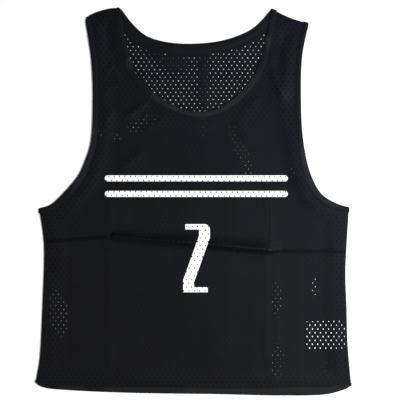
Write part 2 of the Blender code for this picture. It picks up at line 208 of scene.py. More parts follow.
def curve_through(points: Any, fine: int = 24) -> np.ndarray:
    """Draws a centripetal Catmull-Rom curve.

    Args:
        points: The places that it passes through.
        fine: Steps between two of them.

    Returns:
        Close points along the curve.
    """
    p = [np.asarray(q, float) for q in points]
    p = [2 * p[0] - p[1], *p, 2 * p[-1] - p[-2]]
    drawn = []
    for a, b, c, d in zip(p, p[1:], p[2:], p[3:]):
        ta = 0.0
        tb = ta + math.sqrt(np.linalg.norm(b - a))
        tc = tb + math.sqrt(np.linalg.norm(c - b))
        td = tc + math.sqrt(np.linalg.norm(d - c))
        t = np.linspace(tb, tc, fine, endpoint=False)[:, None]
        ab = ((tb - t) * a + (t - ta) * b) / (tb - ta)
        bc = ((tc - t) * b + (t - tb) * c) / (tc - tb)
        cd = ((td - t) * c + (t - tc) * d) / (td - tc)
        abc = ((tc - t) * ab + (t - ta) * bc) / (tc - ta)
        bcd = ((td - t) * bc + (t - tb) * cd) / (td - tb)
        drawn.append(((tc - t) * abc + (t - tb) * bcd) / (tc - tb))
    drawn.append(p[-2][None, :])
    return np.concatenate(drawn)


def lengths_along(points: np.ndarray) -> np.ndarray:
    """Distance from the first point to each, along the line."""
    return np.concatenate([[0.0], np.cumsum(np.linalg.norm(np.diff(points, axis=0), axis=1))])


def points_at(curve: np.ndarray, distances: Any) -> np.ndarray:
    """Places at the given distances along a curve."""
    run = lengths_along(curve)
    return np.stack([np.interp(distances, run, curve[:, i]) for i in range(curve.shape[1])], axis=1)


def spread(curve: np.ndarray, step: float) -> np.ndarray:
    """Even distances along a curve, about a step apart and with both ends."""
    length = lengths_along(curve)[-1]
    return np.linspace(0.0, length, max(2, round(length / step)) + 1)


def nearest(line: np.ndarray, points: np.ndarray, block: int = 2000) -> tuple[np.ndarray, np.ndarray]:
    """Finds what each point is nearest to.

    Args:
        line: The places to measure to.
        points: The points.
        block: How many points are worked on at a time.

    Returns:
        The distance of each point, and the index of its nearest place.
    """
    away = np.empty(len(points))
    which = np.empty(len(points), int)
    for start in range(0, len(points), block):
        part = points[start : start + block]
        square = ((part[:, None, :] - line[None, :, :]) ** 2).sum(axis=2)
        best = square.argmin(axis=1)
        which[start : start + block] = best
        away[start : start + block] = np.sqrt(square[np.arange(len(part)), best])
    return away, which


def inside(polygon: np.ndarray, points: np.ndarray) -> np.ndarray:
    """Tests points against a closed outline.

    Args:
        polygon: The outline's points.
        points: The points to test.

    Returns:
        Whether each is inside.
    """
    found = np.zeros(len(points), bool)
    x, y = points[:, 0], points[:, 1]
    for a, b in zip(polygon, np.roll(polygon, -1, axis=0)):
        crosses = (a[1] > y) != (b[1] > y)
        run = b[1] - a[1] if b[1] != a[1] else 1.0
        found ^= crosses & (x < a[0] + (y - a[1]) * (b[0] - a[0]) / run)
    return found


@dataclass
class Fold:
    """A rolled edge between front and back.

    Attributes:
        curve: Its line in plan.
        axis: Way along it, square to which the cloth rolls.
        out: Way out of the bib.
        cuts: How much its first and its last corner are rounded off.
        rise: How far its middle lies outside the line.
    """

    curve: np.ndarray
    axis: np.ndarray
    out: np.ndarray
    cuts: tuple[float, float]
    rise: float = 0.0

    tucked: float = 0.6  # share of a binding's width at which the net's roll starts
    roundness: float = 0.7  # of the rise, less than 1 for steeper ends

    @classmethod
    def shoulder(cls, start: Place, end: Place, cuts: tuple[float, float], rise: float) -> "Fold":
        """A straight fold between two corners, which rises a little on its way."""
        axis = unit(np.subtract(end, start))
        return cls(curve_through([start, end]), axis, np.array([axis[1], -axis[0]]), cuts, rise)

    @classmethod
    def side(cls, start: Place, middle: Any, end: Place, cuts: tuple[float, float]) -> "Fold":
        """A fold along Y that follows the bib's side."""
        axis = np.array([0.0, np.sign(end[1] - start[1])])
        return cls(curve_through([start, *middle, end]), axis, np.array([axis[1], -axis[0]]), cuts)

    @property
    def start(self) -> np.ndarray:
        """Its first corner."""
        return self.curve[0]

    @property
    def end(self) -> np.ndarray:
        """Its last corner."""
        return self.curve[-1]

    def line(self, first: float, last: float) -> np.ndarray:
        """Where the net rolls, from inside one binding's slot to inside the other's.

        Args:
            first: Width of the binding that crosses its start.
            last: Width of the binding that crosses its end.

        Returns:
            The points in plan.
        """
        first, last = first * self.tucked, last * self.tucked
        length = lengths_along(self.curve)[-1]
        count = max(2, round((length - first - last) / STATION_STEP))
        points = points_at(self.curve, np.linspace(first, length - last, count + 1))
        points[0] = self.start + self.axis * (first + self.cuts[0])
        points[-1] = self.end - self.axis * (last + self.cuts[1])
        lift = np.maximum(np.sin(np.linspace(0.0, math.pi, count + 1)), 0.0) ** self.roundness * self.rise
        return points + lift[:, None] * self.out


@dataclass
class Edge:
    """A bound edge in plan.

    Attributes:
        points: Its stations, on the binding's folded edge.
        inward: Way into the cloth at each.
        width: Width of the binding at each.
    """

    points: np.ndarray
    inward: np.ndarray
    width: np.ndarray

    blend: float = 15.0  # over which an end turns square to its fold

    @classmethod
    def between(cls, before: Fold, middle: tuple[Place, ...], after: Fold, widths: Shares) -> "Edge":
        """Lays an edge from the end of one fold to the start of the next, square to both.

        Args:
            before: The fold that it starts from.
            middle: Points on its way.
            after: The fold that it ends at.
            widths: The binding's width by share of the length.

        Returns:
            The edge.
        """
        curve = curve_through([before.end, *middle, after.start])
        at = spread(curve, STATION_STEP)
        length = at[-1]
        run = points_at(curve, np.minimum(at + 1.0, length)) - points_at(curve, np.maximum(at - 1.0, 0.0))
        tangent = run / np.linalg.norm(run, axis=1)[:, None]
        square = np.stack([-tangent[:, 1], tangent[:, 0]], axis=1)
        first = smooth(1.0 - at / cls.blend)[:, None]
        last = smooth(1.0 - (length - at) / cls.blend)[:, None]
        inward = (1.0 - first - last) * square - first * before.axis + last * after.axis
        inward /= np.linalg.norm(inward, axis=1)[:, None]
        shares, sizes = zip(*widths)
        cut = before.cuts[1] * np.clip(1.0 - at / CORNER_REACH, 0.0, 1.0) ** 2
        cut += after.cuts[0] * np.clip(1.0 - (length - at) / CORNER_REACH, 0.0, 1.0) ** 2
        width = np.interp(at / length, shares, sizes) - cut
        return cls(points_at(curve, at) + inward * cut[:, None], inward, width)


def linear(code: str) -> tuple[float, float, float, float]:
    """Turns an sRGB hex colour to linear light.

    Args:
        code: The colour, as #rrggbb.

    Returns:
        Red, green, blue and full opacity.
    """
    parts = [int(code[i : i + 2], 16) / 255 for i in (1, 3, 5)]
    light = [c / 12.92 if c <= 0.04045 else ((c + 0.055) / 1.055) ** 2.4 for c in parts]
    return (*light, 1.0)


def feed(node: bpy.types.Node, links: dict[str | int, Any]) -> None:
    """Links or sets a node's inputs.

    Args:
        node: The node.
        links: Input name or place to the socket or varying number that feeds it, to a list of sockets
            for an input that takes several, or to its value.
    """
    for key, value in links.items():
        for part in reversed(value) if isinstance(value, list) else (value,):
            source = part.socket if isinstance(part, Varying) else part
            if isinstance(source, bpy.types.NodeSocket):
                node.id_data.links.new(source, node.inputs[key])
            else:
                node.inputs[key].default_value = source


def add_node(tree: bpy.types.NodeTree, kind: str, links: dict | None = None, **settings: Any) -> Any:
    """Adds a node with its settings and links.

    Args:
        tree: Where it goes.
        kind: Its type.
        links: What feeds its inputs.
        settings: The node's own properties.

    Returns:
        The node.
    """
    node = tree.nodes.new(kind)
    for name, value in settings.items():
        setattr(node, name, value)
    feed(node, links or {})
    return node


class Varying:
    """A number that varies over a surface, so that a material can be written as a formula."""

    def __init__(self, socket: bpy.types.NodeSocket) -> None:
        """Keeps the socket that gives the number."""
        self.socket = socket

    def step(self, operation: str, *others: "Varying | float") -> "Varying":
        """The result of one arithmetic step on this number and others."""
        links = dict(enumerate((self, *others)))
        node = add_node(self.socket.id_data, "ShaderNodeMath", links, operation=operation)
        return Varying(node.outputs[0])

    def __add__(self, other: "Varying | float") -> "Varying":
        """The sum."""
        return self.step("ADD", other)

    def __sub__(self, other: "Varying | float") -> "Varying":
        """The difference."""
        return self.step("SUBTRACT", other)

    def __rsub__(self, other: float) -> "Varying":
        """The difference from a plain number."""
        return self.step("MULTIPLY_ADD", -1.0, other)

    def __mul__(self, other: "Varying | float") -> "Varying":
        """The product."""
        return self.step("MULTIPLY", other)

    def clamped(self) -> "Varying":
        """The number kept between 0 and 1."""
        return self.step("MAXIMUM", 0.0).step("MINIMUM", 1.0)


@dataclass(frozen=True)
class Spot:
    """An oval part of the cloth, with soft limits.

    Attributes:
        middle: In plan.
        half: Half width and half height.
        turn: Of its long side, radians.
    """

    middle: Place
    half: Place
    turn: float = 0.0

    full: float = 0.9  # of the half sizes, up to which the share is 1
    none: float = 1.6  # from which it is 0

    def share(self, points: np.ndarray) -> np.ndarray:
        """Measures how much points belong to the spot.

        Args:
            points: In plan.

        Returns:
            1 for each point inside, falling to 0 round the spot.
        """
        way = points - np.asarray(self.middle)
        c, s = math.cos(self.turn), math.sin(self.turn)
        u = np.abs(way[:, 0] * c + way[:, 1] * s) / self.half[0]
        v = np.abs(way[:, 1] * c - way[:, 0] * s) / self.half[1]
        return 1.0 - smooth((np.hypot(u, v) - self.full) / (self.none - self.full))

    def varying(self, x: Varying, y: Varying) -> Varying:
        """Writes the same share as a formula of a material.

        Args:
            x, y: Place in plan.

        Returns:
            The share.
        """
        c, s = math.cos(self.turn), math.sin(self.turn)
        dx, dy = x - self.middle[0], y - self.middle[1]
        u = dx * (c / self.half[0]) + dy * (s / self.half[0])
        v = dy * (c / self.half[1]) - dx * (s / self.half[1])
        limits = {"Value": (u * u + v * v).step("SQRT"), "From Min": self.none, "From Max": self.full}
        tree = x.socket.id_data
        share = add_node(tree, "ShaderNodeMapRange", limits, interpolation_type="SMOOTHSTEP")
        return Varying(share.outputs[0])


@dataclass(frozen=True)
class Crease:
    """A ridge along a line, steepest near its crest.

    Attributes:
        start, end: Its ends in plan.
        near, far: Reach on its left, and on its right.
        height: Of its crest.
        fade: Share of the length over which each end dies away.
        wander: How far it leaves its line.
    """

    start: Place
    end: Place
    near: float
    far: float
    height: float
    fade: float = 0.2
    wander: float = 1.5

    crest: float = 1.0  # radius
    wander_length: float = 23.0  # of line over which it turns by one radian
    swell_length: float = 31.0
    swell: float = 0.15  # how much the height varies

    def relief(self, points: np.ndarray) -> np.ndarray:
        """Works out the height that it adds.

        Args:
            points: In plan.

        Returns:
            The height at each.
        """
        run = np.subtract(self.end, self.start)
        length = float(np.hypot(*run))
        way = points - np.asarray(self.start)
        along = way @ run / length**2
        off = (run[0] * way[:, 1] - run[1] * way[:, 0]) / length
        off = off + self.wander * np.sin(along * length / self.wander_length + self.start[0])
        reach = np.where(off > 0, self.near, self.far)
        ends = smooth(np.minimum(along, 1.0 - along) / self.fade)
        swell = np.sin(along * length / self.swell_length + self.start[1])
        away = (np.sqrt(off**2 + self.crest**2) - self.crest) / reach
        return self.height * (1.0 - self.swell + self.swell * swell) * ends * np.exp(-away)


def along_and_off(x: Varying, y: Varying, start: Place, end: Place) -> tuple[Varying, Varying, float]:
    """Measures a place against a line, as formulas of a material.

    Args:
        x, y: The place in plan.
        start, end: The line's ends.

    Returns:
        Distance along the line, distance square to it on its left, and the line's length.
    """
    run = np.subtract(end, start)
    length = float(np.hypot(*run))
    ux, uy = (float(c) for c in run / length)
    dx, dy = x - start[0], y - start[1]
    return dx * ux + dy * uy, dy * ux - dx * uy, length


@dataclass(frozen=True)
class Stroke:
    """A straight bar of a print, from one end to the other, in plan.

    Attributes:
        start, end: Middle of each end.
        half: Half width.
        round_ends: Whether the ends are half circles.
    """

    start: Place
    end: Place
    half: float
    round_ends: bool = False

    def depth(self, x: Varying, y: Varying) -> Varying:
        """Measures how far inside the bar a place is.

        Args:
            x, y: The place in plan.

        Returns:
            The depth in millimetres, below 0 outside.
        """
        along, off, length = along_and_off(x, y, self.start, self.end)
        if self.round_ends:
            gap = along - along.step("MAXIMUM", 0.0).step("MINIMUM", length)
            return self.half - (gap * gap + off * off).step("SQRT")
        ends = along.step("MINIMUM", length - along)
        return ends.step("MINIMUM", self.half - off.step("ABSOLUTE"))


@dataclass(frozen=True)
class PressedLine:
    """The sharp crest of a packing crease, too narrow for the mesh.

    Attributes:
        start, end: Its ends in plan.
        near, far: Reach on its left, and on its right.
        height: Of its crest.
        rounding: Radius of the crest.
        soft: Length over which each end dies away.
    """

    start: Place
    end: Place
    near: float
    far: float
    height: float
    rounding: float = 0.5
    soft: tuple[float, float] = (12.0, 12.0)

    def relief(self, x: Varying, y: Varying) -> Varying:
        """Works out its height.

        Args:
            x, y: Place in plan.

        Returns:
            The height in millimetres.
        """
        along, off, length = along_and_off(x, y, self.start, self.end)
        away = (off * off + self.rounding**2).step("SQRT") - self.rounding
        reach = off.step("GREATER_THAN", 0.0) * (self.near - self.far) + self.far
        share = (1.0 - away.step("DIVIDE", reach)).step("MAXIMUM", 0.0)
        first = along.step("DIVIDE", self.soft[0]).clamped()
        last = (length - along).step("DIVIDE", self.soft[1]).clamped()
        return share * share * self.height * first * last


# Packing creases and wrinkles of each layer, then the sharp crests of the front's
FRONT_CREASES = (
    Crease((-262.0, -70.0), (-134.0, -59.5), 3.0, 2.6, 0.5, 0.05, 0.4),
    Crease((-142.0, -58.5), (138.0, -83.0), 14.0, 9.0, 1.7, 0.07, 0.4),
    Crease((118.0, -83.5), (264.0, -85.5), 3.0, 2.6, 0.5, 0.05, 0.4),
    Crease((-142.5, 60.0), (-142.5, -310.0), 7.0, 6.0, 0.3, 0.1),
    Crease((137.0, -90.0), (139.0, -310.0), 6.0, 6.0, 0.3, 0.1),
    Crease((-126.0, 130.0), (-64.0, 178.0), 8.0, 7.0, 2.6, 0.35),
    Crease((-160.0, 110.0), (-132.0, 160.0), 8.0, 6.0, 1.3, 0.35),
    Crease((-100.0, 112.0), (-40.0, 142.0), 9.0, 7.0, 1.0, 0.35),
    Crease((-152.0, 262.0), (-118.0, 190.0), 10.0, 8.0, 1.6, 0.35),
    Crease((-160.0, 200.0), (-128.0, 232.0), 7.0, 7.0, 1.4, 0.35),
    Crease((-166.0, 180.0), (-110.0, 196.0), 8.0, 7.0, 1.1, 0.35),
    Crease((-132.0, 48.0), (-78.0, 88.0), 12.0, 9.0, 1.7, 0.35),
    Crease((126.0, 232.0), (154.0, 158.0), 7.0, 11.0, 1.9, 0.3),
    Crease((150.0, 262.0), (160.0, 205.0), 9.0, 9.0, 0.7, 0.35),
    Crease((72.0, 148.0), (118.0, 176.0), 7.0, 8.0, 1.4, 0.35),
    Crease((66.0, 146.0), (94.0, 86.0), 14.0, 9.0, 0.5, 0.3),
    Crease((96.0, 88.0), (112.0, 26.0), 10.0, 9.0, 0.4, 0.3),
)
BACK_CREASES = (
    Crease((-190.0, 205.0), (190.0, 200.0), 8.0, 6.0, 0.5, 0.1),
    Crease((14.0, 250.0), (16.0, 140.0), 7.0, 6.0, 0.9, 0.2),
    Crease((-72.0, 246.0), (-20.0, 222.0), 7.0, 6.0, 0.7, 0.3),
    Crease((-262.0, -74.0), (262.0, -80.0), 9.0, 6.0, 0.4, 0.05),
    Crease((-140.0, 80.0), (-140.0, -310.0), 9.0, 7.0, 0.4, 0.1),
    Crease((120.0, 80.0), (122.0, -310.0), 9.0, 7.0, 0.4, 0.1),
)
PRESSED = (
    PressedLine((-262.0, -70.0), (-136.0, -59.7), 3.6, 3.6, 1.3),
    PressedLine((-140.0, -58.3), (-8.0, -70.3), 12.0, 15.0, 3.4, 0.7, (5.0, 60.0)),
    PressedLine((-68.0, -64.8), (146.0, -83.7), 21.0, 10.0, 3.8, 2.2, (60.0, 30.0)),
    PressedLine((124.0, -83.6), (262.0, -85.5), 3.2, 3.2, 0.65),
    PressedLine((128.8, 12.0), (128.8, -78.0), 22.0, 5.5, 0.34, 0.8, (30.0, 10.0)),
)

# Where the holes of both layers lie over each other
MEETINGS = (
    Spot((-223.0, -187.0), (15.0, 39.0), 0.1),
    Spot((142.0, -162.0), (9.0, 30.0)),
    Spot((143.0, -268.0), (11.0, 30.0)),
    Spot((206.0, -144.0), (5.0, 21.0)),
    Spot((230.0, -278.0), (11.0, 12.0)),
    Spot((83.0, 84.0), (10.0, 54.0), 0.4),
    Spot((16.0, 121.0), (9.0, 20.0)),
    Spot((-82.0, 131.0), (29.0, 11.0), 0.5),
    Spot((-155.0, 116.0), (8.0, 7.0)),
    Spot((-128.0, 106.0), (9.0, 6.0)),
    Spot((170.0, 48.0), (7.0, 8.0)),
)

# Where the back's cloth is pulled and its holes nearly close
SHUT = (
    Spot((-32.0, 228.0), (22.0, 9.0)),
    Spot((16.0, 205.0), (7.0, 42.0)),
    Spot((-60.0, 242.0), (20.0, 5.0), -0.3),
)

# Where the bindings are pulled flat and catch the light: painted highlights, a lighter tone mixed into the
# tape's colour
PAINTED_HIGHLIGHTS = (
    Spot((126.0, 260.0), (5.0, 12.0), 0.15),
    Spot((-108.0, 230.0), (5.0, 8.0)),
    Spot((86.0, 186.0), (14.0, 22.0), -0.5),
    Spot((50.0, 160.0), (34.0, 10.0), 0.5),
    Spot((4.0, 148.0), (34.0, 9.0)),
    Spot((-44.0, 164.0), (26.0, 9.0), -0.5),
    Spot((-184.0, 60.0), (10.0, 60.0), -0.2),
    Spot((196.0, 42.0), (12.0, 50.0), 0.35),
    Spot((232.0, 0.0), (26.0, 10.0), 0.6),
    Spot((-204.0, -314.0), (17.0, 8.0)),
    Spot((-52.0, -317.0), (84.0, 8.0)),
    Spot((142.0, -317.0), (104.0, 12.0)),
)

# A plain player's number, and two plain bars across the chest
NUMBER = (
    Stroke((-14.5, -43.5), (18.0, -43.5), 4.5),
    Stroke((17.6, -48.1), (17.6, -60.0), 9.1, True),
    Stroke((17.6, -60.0), (-8.9, -134.1), 9.1, True),
    Stroke((-8.9, -134.1), (-8.9, -143.7), 9.1, True),
    Stroke((-18.0, -148.7), (23.1, -148.7), 4.2),
)
CHEST_BARS = (
    Stroke((-144.0, 37.5), (152.0, 37.5), 5.0, True),
    Stroke((-144.0, 11.5), (152.0, 11.5), 5.0, True),
)


class Plan:
    """The bib's outline in plan, and the level of each layer's middle at any place."""

    def __init__(self) -> None:
        """Lays out folds and edges from the corners."""
        self.shoulder_left = Fold.shoulder(NECK_LEFT, TIP_LEFT, SHOULDER_LEFT_CUT, SHOULDER_RISE_LEFT)
        self.side_left = Fold.side(UNDERARM_LEFT, SIDE_LEFT, HEM_LEFT, SIDE_LEFT_CUT)
        self.side_right = Fold.side(HEM_RIGHT, SIDE_RIGHT, UNDERARM_RIGHT, SIDE_RIGHT_CUT)
        self.shoulder_right = Fold.shoulder(
            TIP_RIGHT, NECK_RIGHT, SHOULDER_RIGHT_CUT, SHOULDER_RISE_RIGHT
        )
        self.folds = (self.shoulder_left, self.side_left, self.side_right, self.shoulder_right)
        self.armhole_left = Edge.between(
            self.shoulder_left, ARMHOLE_LEFT, self.side_left, ARMHOLE_LEFT_WIDTH
        )
        self.hem = Edge.between(self.side_left, HEM, self.side_right, HEM_WIDTH)
        self.armhole_right = Edge.between(
            self.side_right, ARMHOLE_RIGHT, self.shoulder_right, ARMHOLE_RIGHT_WIDTH
        )
        self.neck_front = Edge.between(
            self.shoulder_right, NECK_FRONT, self.shoulder_left, NECK_FRONT_WIDTH
        )
        self.neck_back = Edge.between(self.shoulder_right, NECK_BACK, self.shoulder_left, NECK_BACK_WIDTH)
        around = [fold.curve for fold in self.folds]
        around += [self.armhole_left.points, self.hem.points, self.armhole_right.points]
        self.rim = np.concatenate([points_at(curve, spread(curve, RIM_STEP)) for curve in around])

    def neck(self, layer: Layer) -> Edge:
        """The neck edge of a layer."""
        return self.neck_front if layer is Layer.FRONT else self.neck_back

    def base(self, layer: Layer, points: np.ndarray) -> np.ndarray:
        """Finds the level without wrinkles, raised at the rim, where bindings lie on each other.

        Args:
            layer: Front or back.
            points: In plan.

        Returns:
            The level at each.
        """
        near = np.minimum(nearest(self.rim, points)[0], nearest(self.neck_back.points, points)[0])
        rim = 1.0 - smooth((near - EDGE_HELD) / EDGE_EASE)
        if layer is Layer.BACK:
            return BACK_REST + (BACK_EDGE - BACK_REST) * rim
        scoop = 1.0 - smooth((nearest(self.neck_front.points, points)[0] - EDGE_HELD) / EDGE_EASE)
        low = FRONT_REST + (FRONT_EDGE - FRONT_REST) * rim
        return np.maximum(low, FRONT_REST + (FRONT_SCOOP - FRONT_REST) * scoop)

    def free(self, layer: Layer, points: np.ndarray) -> np.ndarray:
        """Finds the level with wrinkles, and with the slight unevenness that cloth has everywhere.

        Args:
            layer: Front or back.
            points: In plan.

        Returns:
            The level at each.
        """
        x, y = points[:, 0], points[:, 1]
        level = self.base(layer, points)
        for crease in FRONT_CREASES if layer is Layer.FRONT else BACK_CREASES:
            level = level + crease.relief(points)
        a, b, c, d = BROAD_WAVES
        first, second = BROAD_BENDS
        broad = np.sin(x / a + first * np.sin(y / b)) * np.sin(y / c + second * np.sin(x / d))
        a, b, c, d = CLOSE_WAVES
        close = np.sin(x / a + y / b) * np.sin(y / c - x / d)
        size = SWELL_BACK
        if layer is Layer.FRONT:
            size = SWELL_FRONT + SWELL_MORE * smooth((y - CHEST_LOW) / CHEST_DEEP)
        return level + size * (broad + CLOSE_SHARE * close)

    def rails(self, layer: Layer) -> tuple[np.ndarray, np.ndarray, np.ndarray]:
        """Lists the lines where the level is set by the sewing.

        Args:
            layer: Front or back.

        Returns:
            Their points, the width held at each, and the level at each.
        """
        edge_level = FRONT_EDGE if layer is Layer.FRONT else BACK_EDGE
        places, widths, levels = [], [], []
        for edge in (self.armhole_left, self.hem, self.armhole_right):
            places.append(edge.points)
            widths.append(edge.width)
            levels.append(np.full(len(edge.width), edge_level))
        for fold in self.folds:
            line = points_at(fold.curve, spread(fold.curve, STATION_STEP))
            places.append(line)
            widths.append(np.zeros(len(line)))
            levels.append(np.full(len(line), edge_level))
        neck = self.neck(layer)
        places.append(neck.points)
        widths.append(neck.width)
        levels.append(self.neck_level(layer))
        return np.concatenate(places), np.concatenate(widths), np.concatenate(levels)

    def neck_level(self, layer: Layer) -> np.ndarray:
        """Finds the level of a neck edge.

        Args:
            layer: Front or back.

        Returns:
            The level at each of its stations.
        """
        if layer is Layer.BACK:
            return np.full(len(self.neck_back.points), BACK_EDGE)
        return self.base(layer, self.neck_front.points)

    def level(self, layer: Layer, points: np.ndarray) -> np.ndarray:
        """Finds the cloth's level, which is flat under each binding and free away from it.

        Args:
            layer: Front or back.
            points: In plan.

        Returns:
            The level of the cloth's middle at each.
        """
        rails, widths, held = self.rails(layer)
        away, which = nearest(rails, points)
        free = self.free(layer, points)
        hold = 1.0 - smooth((away - widths[which] - RAIL_HELD) / RAIL_EASE)
        level = free + (held[which] - free) * hold
        if layer is Layer.FRONT:
            level = np.maximum(level, self.level(Layer.BACK, points) + LAYERS_APART)
        return level


# Inputs and output of a Mix node that hold colours
MIX_A = 6
MIX_B = 7
MIXED = 2


class Surface:
    """A new material, and what its pattern starts from.

    Attributes:
        material: The material.
        tree: Its nodes.
        shader: The node that makes the finish.
        place: The place on the object, in millimetres.
        x, y: That place in plan.
    """

    def __init__(self, name: str) -> None:
        """Makes the material.

        Args:
            name: Its name.
        """
        self.material = bpy.data.materials.new(name)
        self.material.use_nodes = True
        self.tree = self.material.node_tree
        self.shader = self.tree.nodes["Principled BSDF"]
        raw = add_node(self.tree, "ShaderNodeTexCoord").outputs["Object"]
        links = {0: raw, "Scale": 1 / MM}
        self.place = add_node(self.tree, "ShaderNodeVectorMath", links, operation="SCALE").outputs[0]
        parts = add_node(self.tree, "ShaderNodeSeparateXYZ", {0: self.place}).outputs
        self.x, self.y = Varying(parts["X"]), Varying(parts["Y"])


@dataclass(frozen=True)
class BlackDye:
    """Black disperse dye on polyester. Its colour is blended from neutral at the lower left to cool at the
    upper right.

    Black cloth sends back hardly anything but its shine, so the shine has the light's cool tone.
    """

    neutral: str = "#090808"
    cool: str = "#040913"
    shine: str = "#e4e9f7"
    drift: Place = (700.0, 620.0)  # over which it turns from one to the other, across and up
    middle: float = 0.45  # share of the cool tone in the middle of the bib

    def colour(self, surface: Surface) -> bpy.types.NodeSocket:
        """Blends the two tones over the bib.

        Args:
            surface: The material that is dyed.

        Returns:
            The colour at each place.
        """
        share = surface.x * (1 / self.drift[0]) + surface.y * (1 / self.drift[1]) + self.middle
        ends = {"Factor": share.clamped(), MIX_A: linear(self.neutral), MIX_B: linear(self.cool)}
        return add_node(surface.tree, "ShaderNodeMix", ends, data_type="RGBA").outputs[MIXED]


@dataclass(frozen=True)
class NetFinish:
    """Warp-knitted polyester net, dyed black, which looks dull, with fine wales along the length.

    The front also carries flat white transfer print, which the holes go through.
    """

    name: str
    dye: BlackDye = BlackDye()
    worn: str = "#0a0b0e"
    ink: str = "#f3f3f1"
    prints: tuple[Stroke, ...] = ()
    pressed: tuple[PressedLine, ...] = ()
    wale_pitch: float = 1.6  # real wales are about 0.8 mm apart, drawn coarser so that they show
    course_pitch: float = 1.1  # real courses are about 0.6 mm apart, drawn coarser too
    loop_height: float = 0.024
    wear_size: float = 45.0  # of patches that are a little lighter
    wear_contrast: float = 2.0
    wear_start: float = 0.5
    grain_size: float = 1.3
    roughness: float = 0.5
    ink_roughness: float = 0.65
    ink_edge: float = 0.15  # half of the width over which the print's edge fades
    ink_ragged: float = 0.25  # how far that edge strays
    specular: float = 0.082

    def material(self) -> bpy.types.Material:
        """Makes the material.

        Returns:
            The material.
        """
        surface = Surface(self.name)
        tree, x, y = surface.tree, surface.x, surface.y
        patches = {"Vector": surface.place, "Scale": 1 / self.wear_size, "Detail": 3.0}
        broad = Varying(add_node(tree, "ShaderNodeTexNoise", patches).outputs["Fac"])
        grain = {"Vector": surface.place, "Scale": 1 / self.grain_size, "Detail": 2.0}
        fine = Varying(add_node(tree, "ShaderNodeTexNoise", grain).outputs["Fac"])
        wear = (fine * 0.5 + broad) * self.wear_contrast - self.wear_contrast * self.wear_start
        tones = {"Factor": wear, MIX_A: self.dye.colour(surface), MIX_B: linear(self.worn)}
        colour = add_node(tree, "ShaderNodeMix", tones, data_type="RGBA").outputs[MIXED]
        roughness: Any = self.roughness
        if self.prints:
            depth = self.prints[0].depth(x, y)
            for stroke in self.prints[1:]:
                depth = depth.step("MAXIMUM", stroke.depth(x, y))
            ragged = depth + (fine * (2 * self.ink_ragged) - self.ink_ragged)
            cover = ((ragged + self.ink_edge) * (0.5 / self.ink_edge)).clamped()
            inked = {"Factor": cover, MIX_A: colour, MIX_B: linear(self.ink)}
            colour = add_node(tree, "ShaderNodeMix", inked, data_type="RGBA").outputs[MIXED]
            roughness = cover * (self.ink_roughness - self.roughness) + self.roughness
        wales = (x * (math.tau / self.wale_pitch)).step("SINE")
        courses = (y * (math.tau / self.course_pitch)).step("SINE")
        relief = (courses * 0.5 + wales + fine) * self.loop_height
        for line in self.pressed:
            relief = relief + line.relief(x, y)
        bump = add_node(tree, "ShaderNodeBump", {"Height": relief, "Distance": MM, "Strength": 1.0})
        feed(
            surface.shader,
            {
                "Base Color": colour,
                "Roughness": roughness,
                "Normal": bump.outputs[0],
                "Specular IOR Level": self.specular,
                "Specular Tint": linear(self.dye.shine),
            },
        )
        return surface.material


